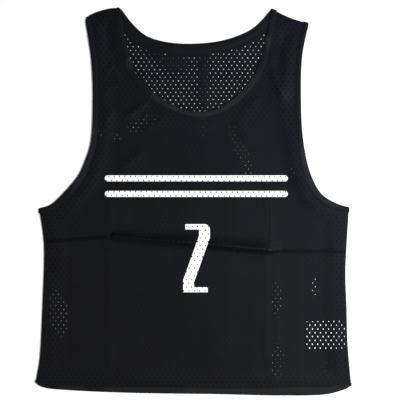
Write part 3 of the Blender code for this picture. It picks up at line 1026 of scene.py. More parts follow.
@dataclass(frozen=True)
class TapeFinish:
    """Knitted polyester binding tape, which looks smoother than the net, with fine ribs.

    Where it is pulled flat it catches the light, and that light is painted into its colour as a lighter tone
    at listed spots; the seam's groove gets painted shade.
    """

    highlight_spots: tuple[Spot, ...]
    name: str = "black knitted polyester tape"
    dye: BlackDye = BlackDye(cool="#050a12")
    worn: str = "#0b0c0e"
    painted_highlight: str = "#18191b"
    # Colour of the painted shade in the seam's groove
    sunk: str = "#030304"
    rib_pitch: float = 4.7  # real ribs are about 0.7 mm apart, drawn coarser so that they show
    relief_height: float = 0.08
    roughness: float = 0.52
    sunk_roughness: float = 0.3  # more, in the groove of the seam
    wear_size: float = 20.0
    grain_size: float = 0.9
    least_light: float = 0.4  # least share of the painted highlight at its spots
    groove_shade: float = 0.1
    groove_more: float = 0.45  # more painted shade, where the highlight is painted
    specular: float = 0.09

    def material(self) -> bpy.types.Material:
        """Makes the material.

        Returns:
            The material.
        """
        surface = Surface(self.name)
        tree, x, y = surface.tree, surface.x, surface.y
        patches = {"Vector": surface.place, "Scale": 1 / self.wear_size, "Detail": 3.0}
        broad = Varying(add_node(tree, "ShaderNodeTexNoise", patches).outputs["Fac"])
        grain = {"Vector": surface.place, "Scale": 1 / self.grain_size, "Detail": 2.0}
        fine = Varying(add_node(tree, "ShaderNodeTexNoise", grain).outputs["Fac"])
        tones = {"Factor": broad, MIX_A: self.dye.colour(surface), MIX_B: linear(self.worn)}
        colour = add_node(tree, "ShaderNodeMix", tones, data_type="RGBA").outputs[MIXED]
        # Painted highlight: the colour turns lighter at the listed spots, where the tape catches the light
        share = self.highlight_spots[0].varying(x, y)
        for spot in self.highlight_spots[1:]:
            share = share.step("MAXIMUM", spot.varying(x, y))
        share = share * (broad + self.least_light)
        lighter = {"Factor": share, MIX_A: colour, MIX_B: linear(self.painted_highlight)}
        colour = add_node(tree, "ShaderNodeMix", lighter, data_type="RGBA").outputs[MIXED]
        # Painted shade: the tape's colour darkens along the seam's groove, more under the painted highlight
        painted_seam_shade = Varying(add_node(tree, "ShaderNodeAttribute", attribute_name="painted_seam_shade").outputs["Fac"])
        painted_seam_shade = painted_seam_shade * (share * self.groove_more + self.groove_shade)
        darker = {"Factor": painted_seam_shade, MIX_A: colour, MIX_B: linear(self.sunk)}
        colour = add_node(tree, "ShaderNodeMix", darker, data_type="RGBA").outputs[MIXED]
        wave = {"Vector": surface.place, "Scale": 1 / self.rib_pitch, "Distortion": 1.5, "Detail": 1.0}
        ribs = add_node(tree, "ShaderNodeTexWave", wave, bands_direction="DIAGONAL")
        relief = Varying(ribs.outputs["Fac"]) * 0.5 + fine
        height = {"Height": relief, "Distance": self.relief_height * MM, "Strength": 1.0}
        bump = add_node(tree, "ShaderNodeBump", height)
        feed(
            surface.shader,
            {
                "Base Color": colour,
                "Roughness": painted_seam_shade * self.sunk_roughness + self.roughness,
                "Normal": bump.outputs[0],
                "Specular IOR Level": self.specular,
                "Specular Tint": linear(self.dye.shine),
            },
        )
        return surface.material


@dataclass(frozen=True)
class ThreadFinish:
    """Spun polyester sewing thread, which looks dull, with the twist of two plies."""

    name: str = "black spun polyester thread"
    yarn: str = "#0d0e11"
    pale: str = "#15161a"
    twist: float = 1.2  # of real thread is about 0.6 mm, drawn coarser so that it shows
    roughness: float = 0.65
    specular: float = 0.1

    def material(self) -> bpy.types.Material:
        """Makes the material.

        Returns:
            The material.
        """
        surface = Surface(self.name)
        wave = {"Vector": surface.place, "Scale": 1 / self.twist, "Distortion": 1.0}
        plies = add_node(surface.tree, "ShaderNodeTexWave", wave, bands_direction="DIAGONAL")
        tones = {"Factor": plies.outputs["Fac"], MIX_A: linear(self.yarn), MIX_B: linear(self.pale)}
        colour = add_node(surface.tree, "ShaderNodeMix", tones, data_type="RGBA").outputs[MIXED]
        feed(
            surface.shader,
            {
                "Base Color": colour,
                "Roughness": self.roughness,
                "Specular IOR Level": self.specular,
            },
        )
        return surface.material


@dataclass(frozen=True)
class SatinFinish:
    """Woven polyester satin of a care label, which looks white, with a soft shine along the weave."""

    name: str = "white woven satin"
    cloth: str = "#eceef0"
    shade: str = "#dfe1e4"
    rib: float = 1.5  # real ribs are about 0.2 mm apart, drawn coarser so that they show
    relief_height: float = 0.05
    relief_strength: float = 0.4
    roughness: float = 0.42

    def material(self) -> bpy.types.Material:
        """Makes the material.

        Returns:
            The material.
        """
        surface = Surface(self.name)
        wave = {"Vector": surface.place, "Scale": 1 / self.rib, "Distortion": 0.6, "Detail": 1.0}
        weave = add_node(surface.tree, "ShaderNodeTexWave", wave, bands_direction="Y").outputs["Fac"]
        tones = {"Factor": weave, MIX_A: linear(self.cloth), MIX_B: linear(self.shade)}
        colour = add_node(surface.tree, "ShaderNodeMix", tones, data_type="RGBA").outputs[MIXED]
        height = {"Distance": self.relief_height * MM, "Strength": self.relief_strength, "Height": weave}
        feed(
            surface.shader,
            {
                "Base Color": colour,
                "Roughness": self.roughness,
                "Normal": add_node(surface.tree, "ShaderNodeBump", height).outputs[0],
            },
        )
        return surface.material


@dataclass(frozen=True)
class FloorFinish:
    """Cast acrylic, sanded matt, which looks plain white. It glows a little, so that it stays white."""

    name: str = "matt white acrylic"
    sheet: str = "#f7f7f7"
    cloud: str = "#f4f4f4"
    cloud_size: float = 4.0
    glow: float = 0.1
    roughness: float = 0.95
    specular: float = 0.1

    def material(self) -> bpy.types.Material:
        """Makes the material.

        Returns:
            The material.
        """
        surface = Surface(self.name)
        soft = {"Vector": surface.place, "Scale": 1 / self.cloud_size, "Detail": 3.0}
        clouds = add_node(surface.tree, "ShaderNodeTexNoise", soft).outputs["Fac"]
        tones = {"Factor": clouds, MIX_A: linear(self.sheet), MIX_B: linear(self.cloud)}
        colour = add_node(surface.tree, "ShaderNodeMix", tones, data_type="RGBA").outputs[MIXED]
        feed(
            surface.shader,
            {
                "Base Color": colour,
                "Roughness": self.roughness,
                "Specular IOR Level": self.specular,
                "Emission Color": linear(self.sheet),
                "Emission Strength": self.glow,
            },
        )
        return surface.material


def new_tree(name: str, **inputs: str) -> tuple[Any, dict[str, Any]]:
    """Starts a Geometry Nodes tree.

    Args:
        name: Its name.
        inputs: Input name, with _ for a space, to its type, after the geometry.

    Returns:
        The tree, and its inputs' sockets by name.
    """
    tree = bpy.data.node_groups.new(name, "GeometryNodeTree")
    tree.interface.new_socket("Geometry", in_out="INPUT", socket_type="NodeSocketGeometry")
    for label, kind in (inputs | {"Material": "Material"}).items():
        tree.interface.new_socket(label.replace("_", " "), in_out="INPUT", socket_type=f"NodeSocket{kind}")
    tree.interface.new_socket("Geometry", in_out="OUTPUT", socket_type="NodeSocketGeometry")
    return tree, {socket.name: socket for socket in add_node(tree, "NodeGroupInput").outputs}


def finish_tree(tree: Any, made: Any, material: Any) -> Any:
    """Ends a tree in Realize Instances and Set Material.

    Args:
        tree: The tree.
        made: Its last geometry.
        material: Its material input.

    Returns:
        The tree.
    """
    real = add_node(tree, "GeometryNodeRealizeInstances", {0: made})
    dressed = add_node(tree, "GeometryNodeSetMaterial", {"Geometry": real.outputs[0], "Material": material})
    add_node(tree, "NodeGroupOutput", {"Geometry": dressed.outputs[0]})
    return tree


def copies(tree: Any, points: Any, selection: Any, instance: Any) -> Any:
    """Sets an instance on the selected points.

    Args:
        tree: The tree.
        points: Geometry with the points.
        selection: Which of them.
        instance: What is set on each.

    Returns:
        The copies as real geometry.
    """
    links = {"Points": points, "Selection": selection, "Instance": instance}
    made = add_node(tree, "GeometryNodeInstanceOnPoints", links)
    return add_node(tree, "GeometryNodeRealizeInstances", {0: made.outputs[0]}).outputs[0]


def perforation_tree() -> Any:
    """A flat net: a cell with a hole at each inner point, and a filled border with the outer holes.

    Returns:
        The tree.
    """
    tree, given = new_tree(
        "perforated net",
        Hole_width="Float",
        Hole_height="Float",
        Hole_sides="Int",
        Hole_pitch="Float",
        Row_pitch="Float",
    )
    marks = {}
    for mark in ("border_hole", "cell"):
        named = add_node(tree, "GeometryNodeInputNamedAttribute", {"Name": mark}, data_type="BOOLEAN")
        marks[mark] = named.outputs[0]
    half = add_node(tree, "ShaderNodeMath", {0: given["Hole pitch"], 1: 0.5}, operation="MULTIPLY")
    outlines = []
    for sides, radius, wide, high in (
        (given["Hole sides"], 0.5, given["Hole width"], given["Hole height"]),
        (4, 1.0, half.outputs[0], given["Row pitch"]),
    ):
        around = {"Resolution": sides, "Radius": radius}
        circle = add_node(tree, "GeometryNodeCurvePrimitiveCircle", around).outputs["Curve"]
        size = add_node(tree, "ShaderNodeCombineXYZ", {"X": wide, "Y": high, "Z": 1.0}).outputs[0]
        shaped = add_node(tree, "GeometryNodeTransform", {"Geometry": circle, "Scale": size})
        outlines.append(shaped.outputs[0])
    pair = add_node(tree, "GeometryNodeJoinGeometry", {0: outlines})
    cell = add_node(tree, "GeometryNodeFillCurve", {"Curve": pair.outputs[0]})
    edges = add_node(tree, "GeometryNodeMeshToCurve", {"Mesh": given["Geometry"]}).outputs[0]
    rings = copies(tree, given["Geometry"], marks["border_hole"], outlines[0])
    curves = add_node(tree, "GeometryNodeJoinGeometry", {0: [edges, rings]})
    border = add_node(tree, "GeometryNodeFillCurve", {"Curve": curves.outputs[0]})
    cells = copies(tree, given["Geometry"], marks["cell"], cell.outputs[0])
    whole = add_node(tree, "GeometryNodeJoinGeometry", {0: [border.outputs[0], cells]})
    welding = {"Geometry": whole.outputs[0], "Distance": WELD}
    welded = add_node(tree, "GeometryNodeMergeByDistance", welding)
    return finish_tree(tree, welded.outputs[0], given["Material"])


def stitch_tree() -> Any:
    """A short thread at every pitch along a line, turned to the line's own aim and top.

    Returns:
        The tree.
    """
    tree, given = new_tree("stitches", Pitch="Float", Length="Float", Thickness="Float")
    line = add_node(tree, "GeometryNodeMeshToCurve", {"Mesh": given["Geometry"]}).outputs[0]
    spaced = add_node(
        tree, "GeometryNodeResampleCurve", {"Curve": line, "Length": given["Pitch"]}, mode="LENGTH"
    )
    turn: Any = (0.0, 0.0, 0.0)
    for mark, axis, pivot in (("aim", "X", "AUTO"), ("top", "Z", "X")):
        way = add_node(tree, "GeometryNodeInputNamedAttribute", {"Name": mark}, data_type="FLOAT_VECTOR")
        links = {"Rotation": turn, "Vector": way.outputs[0]}
        turned = add_node(tree, "FunctionNodeAlignRotationToVector", links, axis=axis, pivot_axis=pivot)
        turn = turned.outputs[0]
    thread = add_node(tree, "GeometryNodeMeshUVSphere", {"Segments": 6, "Rings": 5, "Radius": 0.5})
    thick = given["Thickness"]
    size = add_node(tree, "ShaderNodeCombineXYZ", {"X": given["Length"], "Y": thick, "Z": thick})
    threads = add_node(
        tree,
        "GeometryNodeInstanceOnPoints",
        {
            "Points": spaced.outputs[0],
            "Instance": thread.outputs["Mesh"],
            "Rotation": turn,
            "Scale": size.outputs[0],
        },
    )
    return finish_tree(tree, threads.outputs[0], given["Material"])


def grow(start: bpy.types.Mesh, tree: Any, values: dict[str, Any]) -> bpy.types.Mesh:
    """Runs a Geometry Nodes tree on a mesh.

    Args:
        start: What the tree starts from.
        tree: The tree.
        values: Input name to value.

    Returns:
        The result as a plain mesh.
    """
    piece = bpy.data.objects.new(start.name, start)
    bpy.context.scene.collection.objects.link(piece)
    modifier = piece.modifiers.new(tree.name, "NODES")
    modifier.node_group = tree
    for item in tree.interface.items_tree:
        if item.in_out == "INPUT" and item.name in values:
            modifier[item.identifier] = values[item.name]
    view = bpy.context.evaluated_depsgraph_get()
    mesh = bpy.data.meshes.new_from_object(piece.evaluated_get(view), depsgraph=view)
    piece.modifiers.remove(modifier)
    bpy.data.objects.remove(piece)
    return mesh


def new_mesh(name: str, points: Any, edges: Any = (), faces: Any = (), scale: float = MM) -> bpy.types.Mesh:
    """Makes a mesh.

    Args:
        name: Its name.
        points: Its points, in millimetres.
        edges: Its loose edges.
        faces: Its faces.
        scale: From the points' unit to the mesh's.

    Returns:
        The mesh.
    """
    mesh = bpy.data.meshes.new(name)
    scaled = np.asarray(points, float) * scale
    mesh.from_pydata(scaled.tolist(), list(edges), list(faces))
    mesh.update()
    return mesh


def new_piece(
    mesh: bpy.types.Mesh, material: bpy.types.Material, *nodes: str, slot: str
) -> bpy.types.Object:
    """Links a finished mesh, rides it on the body and hides the solids that it replaces.

    Args:
        mesh: The mesh, which gives the piece its name.
        material: Its finish.
        nodes: Solids that it replaces.
        slot: Not used.

    Returns:
        The piece.
    """
    mesh.materials.clear()
    mesh.materials.append(material)
    piece = bpy.data.objects.new(mesh.name, mesh)
    bpy.context.scene.collection.objects.link(piece)
    for polygon in mesh.polygons:
        polygon.use_smooth = True
    mesh.set_sharp_from_angle(angle=SHARP)
    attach(piece, BODY)
    if nodes:
        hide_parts(*nodes)
    log.info("%s: %d faces", piece.name, len(mesh.polygons))
    return piece


def outward(mesh: bpy.types.Mesh) -> bpy.types.Mesh:
    """Turns the faces of a closed mesh outwards.

    Args:
        mesh: The mesh.

    Returns:
        The same mesh.
    """
    body = bmesh.new()
    body.from_mesh(mesh)
    bmesh.ops.recalc_face_normals(body, faces=body.faces)
    body.to_mesh(mesh)
    body.free()
    return mesh


@dataclass
class Lattice:
    """Staggered rows of holes. A place in it counts half pitches along the row, and rows.

    Attributes:
        origin: Place of one hole in plan.
    """

    origin: Place

    STEP = np.array([HOLE_PITCH / 2, HOLE_ROWS])
    CORNERS = ((1, 0), (0, 1), (-1, 0), (0, -1))

    def within(self, low: np.ndarray, high: np.ndarray) -> np.ndarray:
        """Lists the holes in a box.

        Args:
            low, high: Its corners in plan.

        Returns:
            The lattice place of each hole.
        """
        first = np.floor((low - self.origin) / self.STEP).astype(int)
        last = np.ceil((high - self.origin) / self.STEP).astype(int)
        across, rows = np.meshgrid(np.arange(first[0], last[0] + 1), np.arange(first[1], last[1] + 1))
        found = np.stack([across.ravel(), rows.ravel()], axis=1)
        return found[(found[:, 0] + found[:, 1]) % 2 == 0]

    def place(self, keys: np.ndarray) -> np.ndarray:
        """Where lattice places lie in plan."""
        return np.asarray(self.origin) + np.asarray(keys) * self.STEP

    def nearest_hole(self, points: np.ndarray) -> np.ndarray:
        """Finds the hole whose ring each point could belong to.

        Args:
            points: In plan.

        Returns:
            The lattice place of the hole for each.
        """
        keys = np.rint((points - self.origin) / self.STEP).astype(int)
        odd = (keys[:, 0] + keys[:, 1]) % 2 == 1
        exact = (points[:, 0] - self.origin[0]) / self.STEP[0]
        side = np.where(exact > keys[:, 0], 1, -1)
        keys[:, 0] += np.where(odd, side, 0)
        return keys

    def cells(self, keys: np.ndarray, usable: np.ndarray) -> tuple[np.ndarray, list[tuple[Any, Any]]]:
        """Picks the holes that get a whole cell, so that no corner joins more than two border edges.

        Args:
            keys: Lattice places of the holes.
            usable: Whether each may have one.

        Returns:
            Whether each has one, and the edges round all cells as pairs of lattice places.
        """
        chosen = {tuple(key) for key, good in zip(keys.tolist(), usable) if good}
        while True:
            sides: dict[tuple, int] = {}
            for a, b in chosen:
                ring = [(a + i, b + j) for i, j in self.CORNERS]
                for pair in zip(ring, ring[1:] + ring[:1]):
                    side = tuple(sorted(pair))
                    sides[side] = sides.get(side, 0) + 1
            border = [side for side, count in sides.items() if count == 1]
            meets: dict[tuple, int] = {}
            for side in border:
                for corner in side:
                    meets[corner] = meets.get(corner, 0) + 1
            crossed = {corner for corner, count in meets.items() if count > 2}
            if not crossed:
                return np.array([tuple(key) in chosen for key in keys.tolist()]), border
            chosen -= {(a - i, b - j) for a, b in crossed for i, j in self.CORNERS}


@dataclass
class NetPanel:
    """One layer of net, from cut edge to cut edge and half way round each fold.

    Attributes:
        plan: The bib's plan.
        layer: Front or back.
        name: Of the piece.
    """

    plan: Plan
    layer: Layer
    name: str

    roll_steps: int = 6  # faces on the way half round a fold
    cell_margin: float = 2.0  # between a cell and the outline
    uv_span: float = 1100.0  # of cloth that the bake's layout holds
    uv_margin: float = 5.0
    uv_rim: float = 0.4  # width that a cut edge gets in it
    evenness: float = 0.08  # how much holes differ in size
    meeting_share: float = 0.84  # of the shift that brings the back's holes under the front's
    wander: Place = (0.5, 0.6)  # how far rows leave their line, across and up
    wander_waves: tuple[Place, Place] = ((47.0, 71.0), (53.0, 83.0))
    wander_phases: Place = (0.7, 1.9)
    rim_held: float = 3.0  # width along the outline where holes stay in line
    rim_ease: float = 12.0
    ring_slack: float = 0.05  # for telling the points of a hole's rim
    thinnest: float = 1e-9  # twice the area below which a triangle is dropped

    @property
    def lattice(self) -> Lattice:
        """Its rows of holes."""
        return Lattice(FRONT_HOLE if self.layer is Layer.FRONT else BACK_HOLE)

    def outline(self) -> tuple[np.ndarray, list[np.ndarray]]:
        """Lays out where the sheet ends.

        Returns:
            The sheet's outline up to the folds, and the points of each fold.
        """
        p = self.plan
        edges = (p.neck(self.layer), p.armhole_left, p.hem, p.armhole_right)
        ring: list[np.ndarray] = []
        rolls = []
        for edge, fold, following in zip(edges, p.folds, (*edges[1:], edges[0])):
            cut = edge.points + edge.inward * CUT_INSET
            start = following.points[0] + following.inward[0] * CUT_INSET
            rolled = fold.line(edge.width[-1], following.width[0])
            rolls.append(np.concatenate([cut[-1:], rolled, start[None, :]]))
            ring += [cut, rolled]
        return np.concatenate(ring), rolls

    def open_holes(self, outline: np.ndarray, rolls: list[np.ndarray], spots: np.ndarray) -> np.ndarray:
        """Tests holes against the cut edges and the folds.

        Args:
            outline: The sheet's outline.
            rolls: The points of each fold.
            spots: Middles of the holes.

        Returns:
            Whether each is clear of them.
        """
        p = self.plan
        neck = PLAIN_NECK if self.layer is Layer.BACK else HOLE_FROM_TAPE
        keep = inside(outline, spots)
        keep &= nearest(p.neck(self.layer).points, spots)[0] > neck
        for edge in (p.armhole_left, p.hem, p.armhole_right):
            keep &= nearest(edge.points, spots)[0] > HOLE_FROM_TAPE
        for row in rolls:
            line = points_at(row, spread(row, FINE_STEP))
            keep &= nearest(line, spots)[0] > HOLE_FROM_FOLD
        return keep

    def flat_sheet(
        self, outline: np.ndarray, rolls: list[np.ndarray], material: bpy.types.Material
    ) -> tuple[np.ndarray, np.ndarray]:
        """Makes the perforated sheet in plan.

        Args:
            outline: Where it ends.
            rolls: Where it turns into a fold.
            material: Its finish.

        Returns:
            The points in millimetres, and triangles that run counterclockwise.
        """
        lattice = self.lattice
        keys = lattice.within(outline.min(axis=0), outline.max(axis=0))
        spots = lattice.place(keys)
        keep = self.open_holes(outline, rolls, spots)
        keys, spots = keys[keep], spots[keep]
        usable = np.ones(len(keys), bool)
        for corner in Lattice.CORNERS:
            places = lattice.place(keys + np.array(corner))
            usable &= inside(outline, places) & (nearest(outline, places)[0] > self.cell_margin)
        celled, border = lattice.cells(keys, usable)
        corners = sorted({corner for side in border for corner in side})
        number = {corner: len(outline) + i for i, corner in enumerate(corners)}
        flat = np.concatenate([outline, lattice.place(corners), spots])
        edges = [(i, (i + 1) % len(outline)) for i in range(len(outline))]
        edges += [(number[a], number[b]) for a, b in border]
        start = new_mesh(f"{self.name}_plan", np.column_stack([flat, np.zeros(len(flat))]), edges, scale=1.0)
        blank = np.zeros(len(flat) - len(spots), bool)
        for mark, on in (("border_hole", ~celled), ("cell", celled)):
            values = start.attributes.new(mark, "BOOLEAN", "POINT")
            values.data.foreach_set("value", np.concatenate([blank, on]))
        values = {
            "Hole width": HOLE_WIDTH,
            "Hole height": HOLE_HEIGHT,
            "Hole sides": HOLE_SIDES,
            "Hole pitch": HOLE_PITCH,
            "Row pitch": HOLE_ROWS,
            "Material": material,
        }
        sheet = grow(start, perforation_tree(), values)
        log.info("%s: %d holes, %d in whole cells", self.name, len(keys), int(celled.sum()))
        flat = np.empty(len(sheet.vertices) * 3)
        sheet.vertices.foreach_get("co", flat)
        flat = flat.reshape(-1, 3)[:, :2]
        faces = np.empty(len(sheet.loops), int)
        sheet.loops.foreach_get("vertex_index", faces)
        faces = faces.reshape(-1, 3)
        a, b, c = (flat[faces[:, i]] for i in range(3))
        turn = (b[:, 0] - a[:, 0]) * (c[:, 1] - a[:, 1]) - (b[:, 1] - a[:, 1]) * (c[:, 0] - a[:, 0])
        real = np.abs(turn) > self.thinnest
        faces, turn = faces[real], turn[real]
        return self.shifted(flat, outline), np.where(turn[:, None] > 0, faces, faces[:, ::-1])

    def shifted(self, flat: np.ndarray, outline: np.ndarray) -> np.ndarray:
        """Moves the holes a little, each as a whole, as in cloth that is nowhere quite straight.

        Args:
            flat: The sheet's points in plan.
            outline: Its outline, which stays where it is.

        Returns:
            The points' new places.
        """
        keys = self.lattice.nearest_hole(flat)
        middles = self.lattice.place(keys)
        away = (flat - middles) / (HOLE_WIDTH / 2, HOLE_HEIGHT / 2)
        ring = np.abs(np.hypot(away[:, 0], away[:, 1]) - 1.0) < self.ring_slack
        at = np.where(ring[:, None], middles, flat)
        size = 1.0 + self.evenness * scatter(keys)
        if self.layer is Layer.BACK:
            size -= PULLED_SHUT * (1.0 + most(SHUT, at))
        moved = np.where(ring[:, None], middles + (flat - middles) * size[:, None], flat)
        x, y = at[:, 0], at[:, 1]
        phase = 1.0 + self.layer.value
        (a, b), (c, d) = self.wander_waves
        first, second = self.wander_phases
        across = np.sin(y / a + phase) * np.sin(x / b + first * phase)
        up = np.sin(x / c + second * phase) * np.sin(y / d + phase)
        wander = np.stack([self.wander[0] * across, self.wander[1] * up], axis=1)
        if self.layer is Layer.BACK:
            share = most(MEETINGS, at)[:, None]
            apart = np.subtract(FRONT_HOLE, BACK_HOLE)
            wander = wander * (1.0 - share) + share * apart * self.meeting_share
        free = smooth((nearest(outline, at)[0] - self.rim_held) / self.rim_ease)[:, None]
        return moved + wander * free

    def build(self, material: bpy.types.Material, node: str) -> bpy.types.Object:
        """Makes the panel and dresses it.

        Args:
            material: The net's finish.
            node: The solid that it replaces.

        Returns:
            The piece.
        """
        outline, rolls = self.outline()
        flat, triangles = self.flat_sheet(outline, rolls, material)
        level = self.plan.level(self.layer, flat)
        up = self.layer.value
        outer = [np.column_stack([flat, level + up * WALL / 2])]
        inner = [np.column_stack([flat, level - up * WALL / 2])]
        laid = [flat]
        quads = []
        count = len(flat)
        for row, fold in zip(rolls, self.plan.folds):
            last = nearest(flat, row)[1]
            last_flat = flat[last]
            for step in range(1, self.roll_steps + 1):
                turn = math.pi / 2 * step / self.roll_steps
                laid.append(last_flat + fold.out * FOLD_RADIUS * turn)
                for surface, side in ((outer, WALL / 2), (inner, -WALL / 2)):
                    radius = FOLD_RADIUS + side
                    place = last_flat + fold.out * radius * math.sin(turn)
                    z = np.full(len(row), FOLD_LEVEL + up * radius * math.cos(turn))
                    surface.append(np.column_stack([place, z]))
                here = np.arange(count, count + len(row))
                quads.append(np.stack([last[:-1], here[:-1], here[1:], last[1:]], axis=1))
                last = here
                count += len(row)
        sides = np.concatenate(outer), np.concatenate(inner)
        mesh = self.closed(sides, triangles, np.concatenate(quads), np.concatenate(laid))
        return new_piece(mesh, material, node, slot="net")

    def closed(
        self,
        sides: tuple[np.ndarray, np.ndarray],
        triangles: np.ndarray,
        quads: np.ndarray,
        laid: np.ndarray,
    ) -> bpy.types.Mesh:
        """Joins two matching surfaces along every open edge, and lays them out for the bake.

        Args:
            sides: Points of the cloth's right side, and of its wrong side.
            triangles: Faces of the right side in the flat net.
            quads: Its faces in the folds.
            laid: Each point's place on the flat cloth.

        Returns:
            The mesh.
        """
        count = len(laid)
        pairs = [np.stack([f, np.roll(f, -1, axis=1)], axis=2).reshape(-1, 2) for f in (triangles, quads)]
        pairs = np.concatenate(pairs)
        low, high = pairs.min(axis=1), pairs.max(axis=1)
        _, which, uses = np.unique(low * count + high, return_inverse=True, return_counts=True)
        rim = pairs[uses[which] == 1]
        a, b = rim[:, 0], rim[:, 1]
        spot = laid - laid.min(axis=0) + self.uv_margin
        under = spot + (self.uv_span / 2, 0.0)
        run = (laid[b] - laid[a]) / np.linalg.norm(laid[b] - laid[a], axis=1)[:, None]
        void = np.stack([run[:, 1], -run[:, 0]], axis=1) * self.uv_rim
        groups = [
            (triangles, spot[triangles]),
            (count + triangles[:, ::-1], under[triangles[:, ::-1]]),
            (quads, spot[quads]),
            (count + quads[:, ::-1], under[quads[:, ::-1]]),
            (
                np.stack([b, a, count + a, count + b], axis=1),
                np.stack([spot[b], spot[a], spot[a] + void, spot[b] + void], axis=1),
            ),
        ]
        if self.layer is Layer.BACK:
            groups = [(faces[:, ::-1], places[:, ::-1]) for faces, places in groups]
        all_faces = [face for faces, _ in groups for face in faces.tolist()]
        places = np.concatenate([places.reshape(-1, 2) for _, places in groups])
        mesh = new_mesh(self.name, np.concatenate(sides), faces=all_faces)
        layout = mesh.uv_layers.new(name="OFBake")
        layout.data.foreach_set("uv", (places / self.uv_span).ravel())
        return mesh


def scatter(keys: np.ndarray) -> np.ndarray:
    """Draws a number from -1 to 1 for each pair of whole numbers, always the same for a pair.

    Args:
        keys: The pairs.

    Returns:
        The numbers.
    """
    across, up, spin = 12.9898, 78.233, 43758.5453  # large and without a common measure
    grain = np.sin(keys[:, 0] * across + keys[:, 1] * up) * spin
    return 2.0 * (grain - np.floor(grain)) - 1.0


def most(spots: tuple[Spot, ...], points: np.ndarray) -> np.ndarray:
    """The largest share that each point has in any of the spots."""
    return np.max([spot.share(points) for spot in spots], axis=0)


@dataclass
class Station:
    """One section of a binding.

    Attributes:
        place: Middle of the folded edge.
        inward: Way into the cloth.
        out: Way out of the tube.
        width: Of the binding.
        puff: How far its faces swell.
    """

    place: np.ndarray
    inward: np.ndarray
    out: np.ndarray
    width: float
    puff: float = 0.0

    GROOVE = (1.0, 1.0, 1.0, 1.0, 0.9, *[0.0] * 10, 0.9, 1.0, 1.0, 1.0, 1.0)  # seam's shadow, by point

    def at(self, inward: float, out: float) -> np.ndarray:
        """A place in the section."""
        return self.place + self.inward * inward + self.out * out

    def ring(self) -> list[np.ndarray]:
        """Draws the section's outline: a folded edge, two legs and the slot for the net.

        Returns:
            Its points, from the bottom of the slot out along one leg and back along the other.
        """
        w, t, s = self.width, TAPE_HALF, SLOT_HALF
        # Slot, rounded end, the groove that the stitches pull in, swollen middle and round fold
        leg = [
            (SLOT_DEPTH, s),
            (w, s),
            (w + 0.05, 0.5 * (s + t)),
            (w - 0.35, t - 0.1),
            (w - 1.3, t - 0.12),
            (w - 2.2, t),
            (0.5 * w, t + self.puff),
            (1.5, t),
            (0.6, 0.86 * t),
            (0.12, 0.45 * t),
        ]
        section = leg + [(n, -m) for n, m in reversed(leg)]
        return [self.at(n, m) for n, m in section]


@dataclass(frozen=True)
class StitchRow:
    """Sizes of a row of stitches.

    Attributes:
        pitch: From one stitch to the next.
        length, thick: Of the thread that shows.
    """

    pitch: float
    length: float
    thick: float

    def sew(
        self,
        name: str,
        line: np.ndarray,
        tops: np.ndarray,
        aims: np.ndarray,
        thread: bpy.types.Material,
        closed: bool,
    ) -> None:
        """Sews the row along a line.

        Args:
            name: Of the piece.
            line: The line's points.
            tops: Way out of the cloth at each.
            aims: Way along the thread at each.
            thread: Finish.
            closed: Whether the line comes back to its start.
        """
        count = len(line)
        edges = [(i, (i + 1) % count) for i in range(count if closed else count - 1)]
        start = new_mesh(f"{name}_line", line, edges)
        for label, ways in (("aim", aims), ("top", tops)):
            layer = start.attributes.new(label, "FLOAT_VECTOR", "POINT")
            layer.data.foreach_set("vector", np.array([unit(way) for way in ways]).ravel())
        values = {"Pitch": self.pitch * MM, "Length": self.length * MM, "Thickness": self.thick * MM}
        made = grow(start, stitch_tree(), values | {"Material": thread})
        made.name = name
        new_piece(made, thread, slot="tape")


